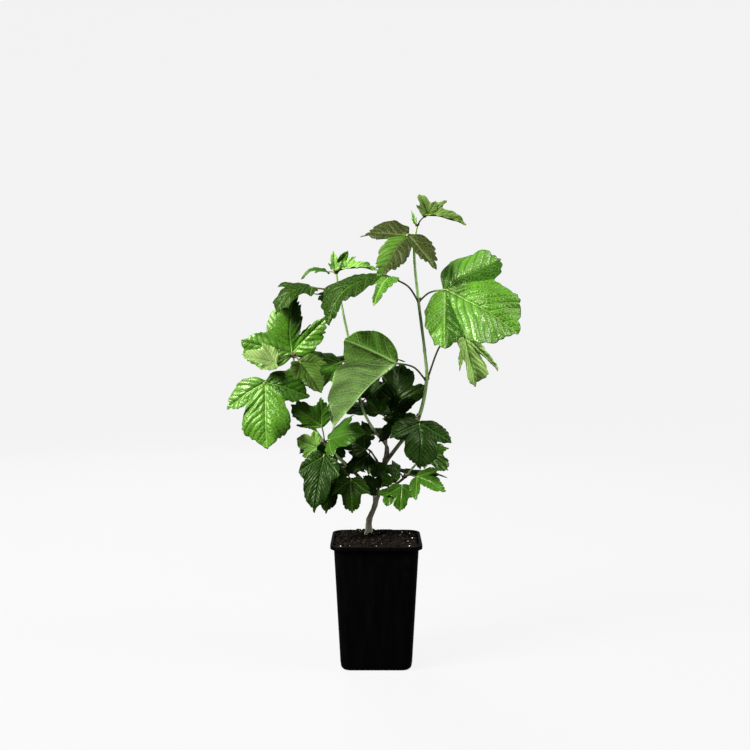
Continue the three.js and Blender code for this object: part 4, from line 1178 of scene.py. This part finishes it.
def leaf_pieces(mass, shoot, number, lines):
    """A mass of leaves as two pieces, blades and stalks with their buds, in place of its node.
    `number` counts the masses and seeds their leaves."""
    nodes, radii = SHOOTS[shoot][:2]
    nodes = np.array(nodes, float) + PLANT_FOOT
    blades, stalks = [], []
    for seed, line in enumerate(lines, number * SEEDS_PER_MASS):
        root, tangent = (each[0] for each in through(nodes, np.array([float(line["node"])])))
        made = grown(line, root, seed)
        blade = blade_skin(made)
        # A face has the tone of its part of the blade, and below that tone's second finish.
        for kind in ("quad", "tri"):
            under = blade[kind + "_square"]
            u, v, rib = blade["marks"][blade[kind + "s"]].mean(1).T
            finish = np.full(len(under), finish_number[line["tone"]])
            limits = [0 * rib, BORDER * rib, rib, 0 * rib + np.pi]
            # Parts of each half that turn to the light or from it take tones with painted light or
            # shade.
            for sign, shades in zip((1, -1), line["shades"]):
                heading = np.arctan2(v * sign, u)
                for shade, low, high in zip(shades, limits, limits[1:]):
                    if shade:
                        finish[(heading > low) & (heading <= high)] = finish_number[shade]
            blade[kind + "_finish"] = finish + under
        blades.append(blade)
        stalks += [stalk_skin(made), bud_skin(made, radii[line["node"]], unit(tangent))]
    skin = joined(blades)
    used = np.unique(skin["quad_finish"])
    for kind in ("quad", "tri"):
        skin[kind + "_finish"] = np.searchsorted(used, skin[kind + "_finish"])
    mesh_piece(mass + "_blades", skin, [leaf_finishes[n] for n in used], "foliage", mass)
    mesh_piece(mass + "_stalks", joined(stalks), [stalk_finish], "foliage", mass)


# ------------------------------------------------------------------ the leaves of the tall shoot

# The tallest shoot: two small leaves low down, their shade painted into a dark tone, a pair of
# large ones half way up, and six more up to its tip, the last of them just opened, still folded
# and dull green.

leaf_pieces("tall_shoot_crown", "tall_shoot", 1, [
    leaf("deep", 5, (40, 222, 33), (93, 205, -31), (230, 60), "deep", "full", droop=95, curl=52,
         width=0.9, sweep=(0.38, 0), teeth=0.7, shades=((None, "bright", "bright"), OWN)),
    leaf("bright", 5, (30, 341, 23), (88, 335, -30), (280, 20), other="full", droop=30, fold=8,
         curl=30, lobes=(-0.1, 0.04), sweep=(-0.26, 0.1), point=0, ribs=0.105, pale=0.6,
         shades=((None, "turned", "glossed"), ("glossed", "turned", None))),
    leaf("olive", 7, (9, 216, 20), (62, 230, -45), (265, 42), "deep", droop=25, curl=28,
         lobes=(0.05, -0.06), sweep=(0.02, -0.45), shades=(OWN, ("soft", None, None))),
    leaf("folded", 8, (16, 15, 48), (22, 160, 66), (300, 5), "small", fold=25, droop=35,
         teeth=0.5),
    leaf("folded", 8, (16, 15, 48), (40, 3, -14), (270, 55), "young", fold=30, droop=30,
         teeth=0.4),
    leaf("light", 8, (4, 200, 60), (13, 165, 74), (280, 5), "young", fold=30, width=0.6),
])
leaf_pieces("tall_shoot_middle_leaves", "tall_shoot", 2, [
    leaf("sage", 3, (46, 222, 24), (92, 215, -40), (160, 36), "full", fold=50, curl=30, droop=20,
         lobes=(-0.17, -0.4), teeth=0.2, ribs=0.15, pale=0.5,
         shades=(("sage_tip", None, "sage_hollow"), ("sage_tip", None, "sage_hollow"))),
    leaf("thin", 3, (62, 24, 50), (55, 20, -74), (300, 25), "lobed", fold=20, droop=15, width=0.8,
         arch=0.28, lobes=(0.4, 0), sweep=(0.5, 0.35)),
])
leaf_pieces("tall_shoot_low_leaves", "tall_shoot", 3, [
    leaf("dark", 2, (18, 271, -12), (46, 268, -66), (290, 25), droop=30, fold=14, curl=25,
         ribs=0.1),
    leaf("dark", 2, (12, 190, -5), (36, 198, -38), (230, 55), droop=30, fold=12, width=0.8),
])

# ------------------------------------------------------------------ the leaves of the middle shoot

# A slimmer shoot behind the others, with a pair of small leaves near the fork, two full pairs
# in its crown and light young leaves at its tip.

leaf_pieces("middle_shoot_crown", "middle_shoot", 4, [
    leaf("mid", 4, (14, 195, -5), (50, 202, -26), (265, 50), droop=35, curl=40),
    leaf("mid", 4, (20, 60, 20), (55, 66, -18), (66, 70), droop=35, curl=25),
    leaf("deep", 5, (32, 199, 22), (50, 205, -34), (245, 60), droop=90, curl=20, width=0.85,
         lobes=(-0.5, 0.1)),
    leaf("mid", 5, (20, 108, 12), (28, 118, -14), (118, 76), droop=30, fold=12),
    leaf("mid", 6, (10, 182, 12), (29, 186, -16), (270, 72), "small", droop=100, width=0.5,
         pale=0.5),
    leaf("light", 6, (9, 350, 34), (34, 8, -2), (290, 62), "young", fold=25, droop=35),
    leaf("light", 6, (5, 245, 52), (19, 128, 80), (275, 5), "young", fold=25, lobes=(-0.15, 0)),
    leaf("fresh", 6, (7, 95, 48), (23, 35, 52), (280, 25), "young", fold=30),
])
leaf_pieces("middle_shoot_low_leaves", "middle_shoot", 5, [
    leaf("dark", 3, (11, 36, 40), (31, 63, 58), (250, 30), "small", fold=20),
    leaf("dark", 3, (14, 220, 38), (25, 180, 50), (275, 25), "small", fold=15),
])

# ------------------------------------------------------------------ the leaves of the left shoot

# The shoot that leans out to the left carries its leaves in the light, which is painted into
# their bright tones, so they are the brightest, and the youngest are still flushed with red.
# Those on the short twig below it hang in the shade, which is painted into their dark tones.

leaf_pieces("left_shoot_crown", "left_shoot", 6, [
    leaf("bright", 4, (32, 211, 6), (64, 279, -75), (262, 25), "lobed", droop=20, curl=30,
         lobes=(-0.2, -0.12), sweep=(-0.35, -0.1),
         shades=((None, "turned", "turned"), (None, None, "glossed"))),
    leaf("mid", 4, (25, 85, 15), (48, 82, 4), (80, 80), droop=35, curl=30),
    leaf("bright", 5, (7, 110, 40), (56, 163, 76), (262, 8), "broad", "deep", fold=10, curl=15,
         sway=-0.3, lobes=(0.24, 0.12), sweep=(-0.16, -0.03),
         shades=((None, "glossed", "glossed"), ("turned", None, None))),
    leaf("blush", 5, (25, 228, -10), (33, 193, 12), (265, 45), "small", fold=15),
    leaf("mid", 5, (14, 90, 5), (42, 96, 4), (95, 78), droop=40, curl=25),
    leaf("plum", 5, (13, 305, -20), (37, 335, -52), (290, 30), "small", fold=22),
    leaf("olive", 5, (8, 335, -24), (14, 8, 2), (270, 60), "young", fold=15),
])
leaf_pieces("left_shoot_low_leaves", "left_shoot", 7, [
    leaf("fresh", 2, (19, 245, 70), (36, 186, 36), (265, 15), "small", fold=10, lobes=(-0.1, 0.1),
         sweep=(0.5, 0), pale=0.5),
    leaf("mid", 2, (9, 303, 27), (43, 325, 12), (262, 44), droop=35, curl=35, lobes=(0, -0.4)),
    leaf("light", 2, (12, 228, -12), (21, 186, 24), (275, 5), fold=8, point=0),
    leaf("deep", 2, (12, 84, 0), (43, 84, -38), (90, 48), droop=35, curl=25),
])
leaf_pieces("lower_left_leaves", "lower_left_twig", 8, [
    leaf("dark", 2, (12, 250, 20), (56, 245, -69), (255, 25), "full", droop=30, fold=12, curl=35,
         width=0.62, lobes=(-0.25, -0.2), ribs=0.09),
    leaf("deep", 2, (10, 320, -72), (44, 235, -79), (275, 8), droop=25, fold=10, width=0.58),
    leaf("deep", 1, (20, 322, -34), (32, 278, -72), (275, 15), "small", droop=25, curl=20),
    leaf("deep", 1, (18, 100, 0), (46, 95, -30), (95, 55), droop=35, curl=25),
])

# ------------------------------------------------------------------ the leaves about the fork

# Small leaves fill the middle of the plant on three short twigs. Little light reaches them,
# and that shade is painted into their tones, so most are dark.

leaf_pieces("inner_leaves", "inner_twig", 9, [
    leaf("dark", 2, (9, 225, 20), (26, 200, 35), (275, 25), "small", fold=12),
    leaf("dark", 2, (9, 250, -20), (27, 200, -36), (260, 30), "small", droop=25),
    leaf("mid", 1, (7, 280, -20), (16, 235, -67), (275, 20), "small", fold=10),
])
leaf_pieces("centre_leaves", "centre_twig", 10, [
    leaf("dark", 3, (22, 40, 62), (44, 75, 60), (262, 15), fold=8, droop=20),
    leaf("dark", 3, (14, 300, 50), (28, 340, 25), (275, 35), "small", fold=15),
    leaf("mid", 3, (14, 200, 45), (22, 180, 60), (265, 20), "small", fold=15),
    leaf("mid", 3, (12, 300, 15), (24, 352, 6), (265, 50), "small", fold=12),
    leaf("dark", 2, (14, 190, 5), (30, 185, 15), (265, 55), "small", fold=12, width=0.8),
    leaf("deep", 2, (18, 75, 10), (58, 72, -10), (72, 75), droop=35, curl=25),
    leaf("deep", 3, (18, 125, 25), (50, 122, 8), (120, 75), droop=35, curl=25),
])
leaf_pieces("lower_right_leaves", "lower_right_twig", 11, [
    leaf("fresh", 3, (18, 35, 45), (30, 333, -39), (280, 40), "small", droop=25),
    leaf("fresh", 2, (18, 320, 10), (34, 326, -20), (275, 40), "deep", droop=30, curl=25),
    leaf("deep", 2, (18, 75, 15), (50, 62, -15), (62, 70), droop=35, curl=25),
    leaf("mid", 2, (8, 215, 50), (20, 200, 20), (265, 40), "small"),
    leaf("fresh", 1, (16, 315, 12), (25, 255, -70), (270, 20), "small", droop=20),
    leaf("mid", 1, (9, 270, -10), (18, 250, -50), (270, 30), "small", droop=20),
    leaf("mid", 1, (12, 80, 15), (20, 130, 20), (250, 65), "small"),
    leaf("dark", 1, (16, 215, 0), (20, 205, 42), (270, 30), "small", fold=12),
])

visual_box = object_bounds()
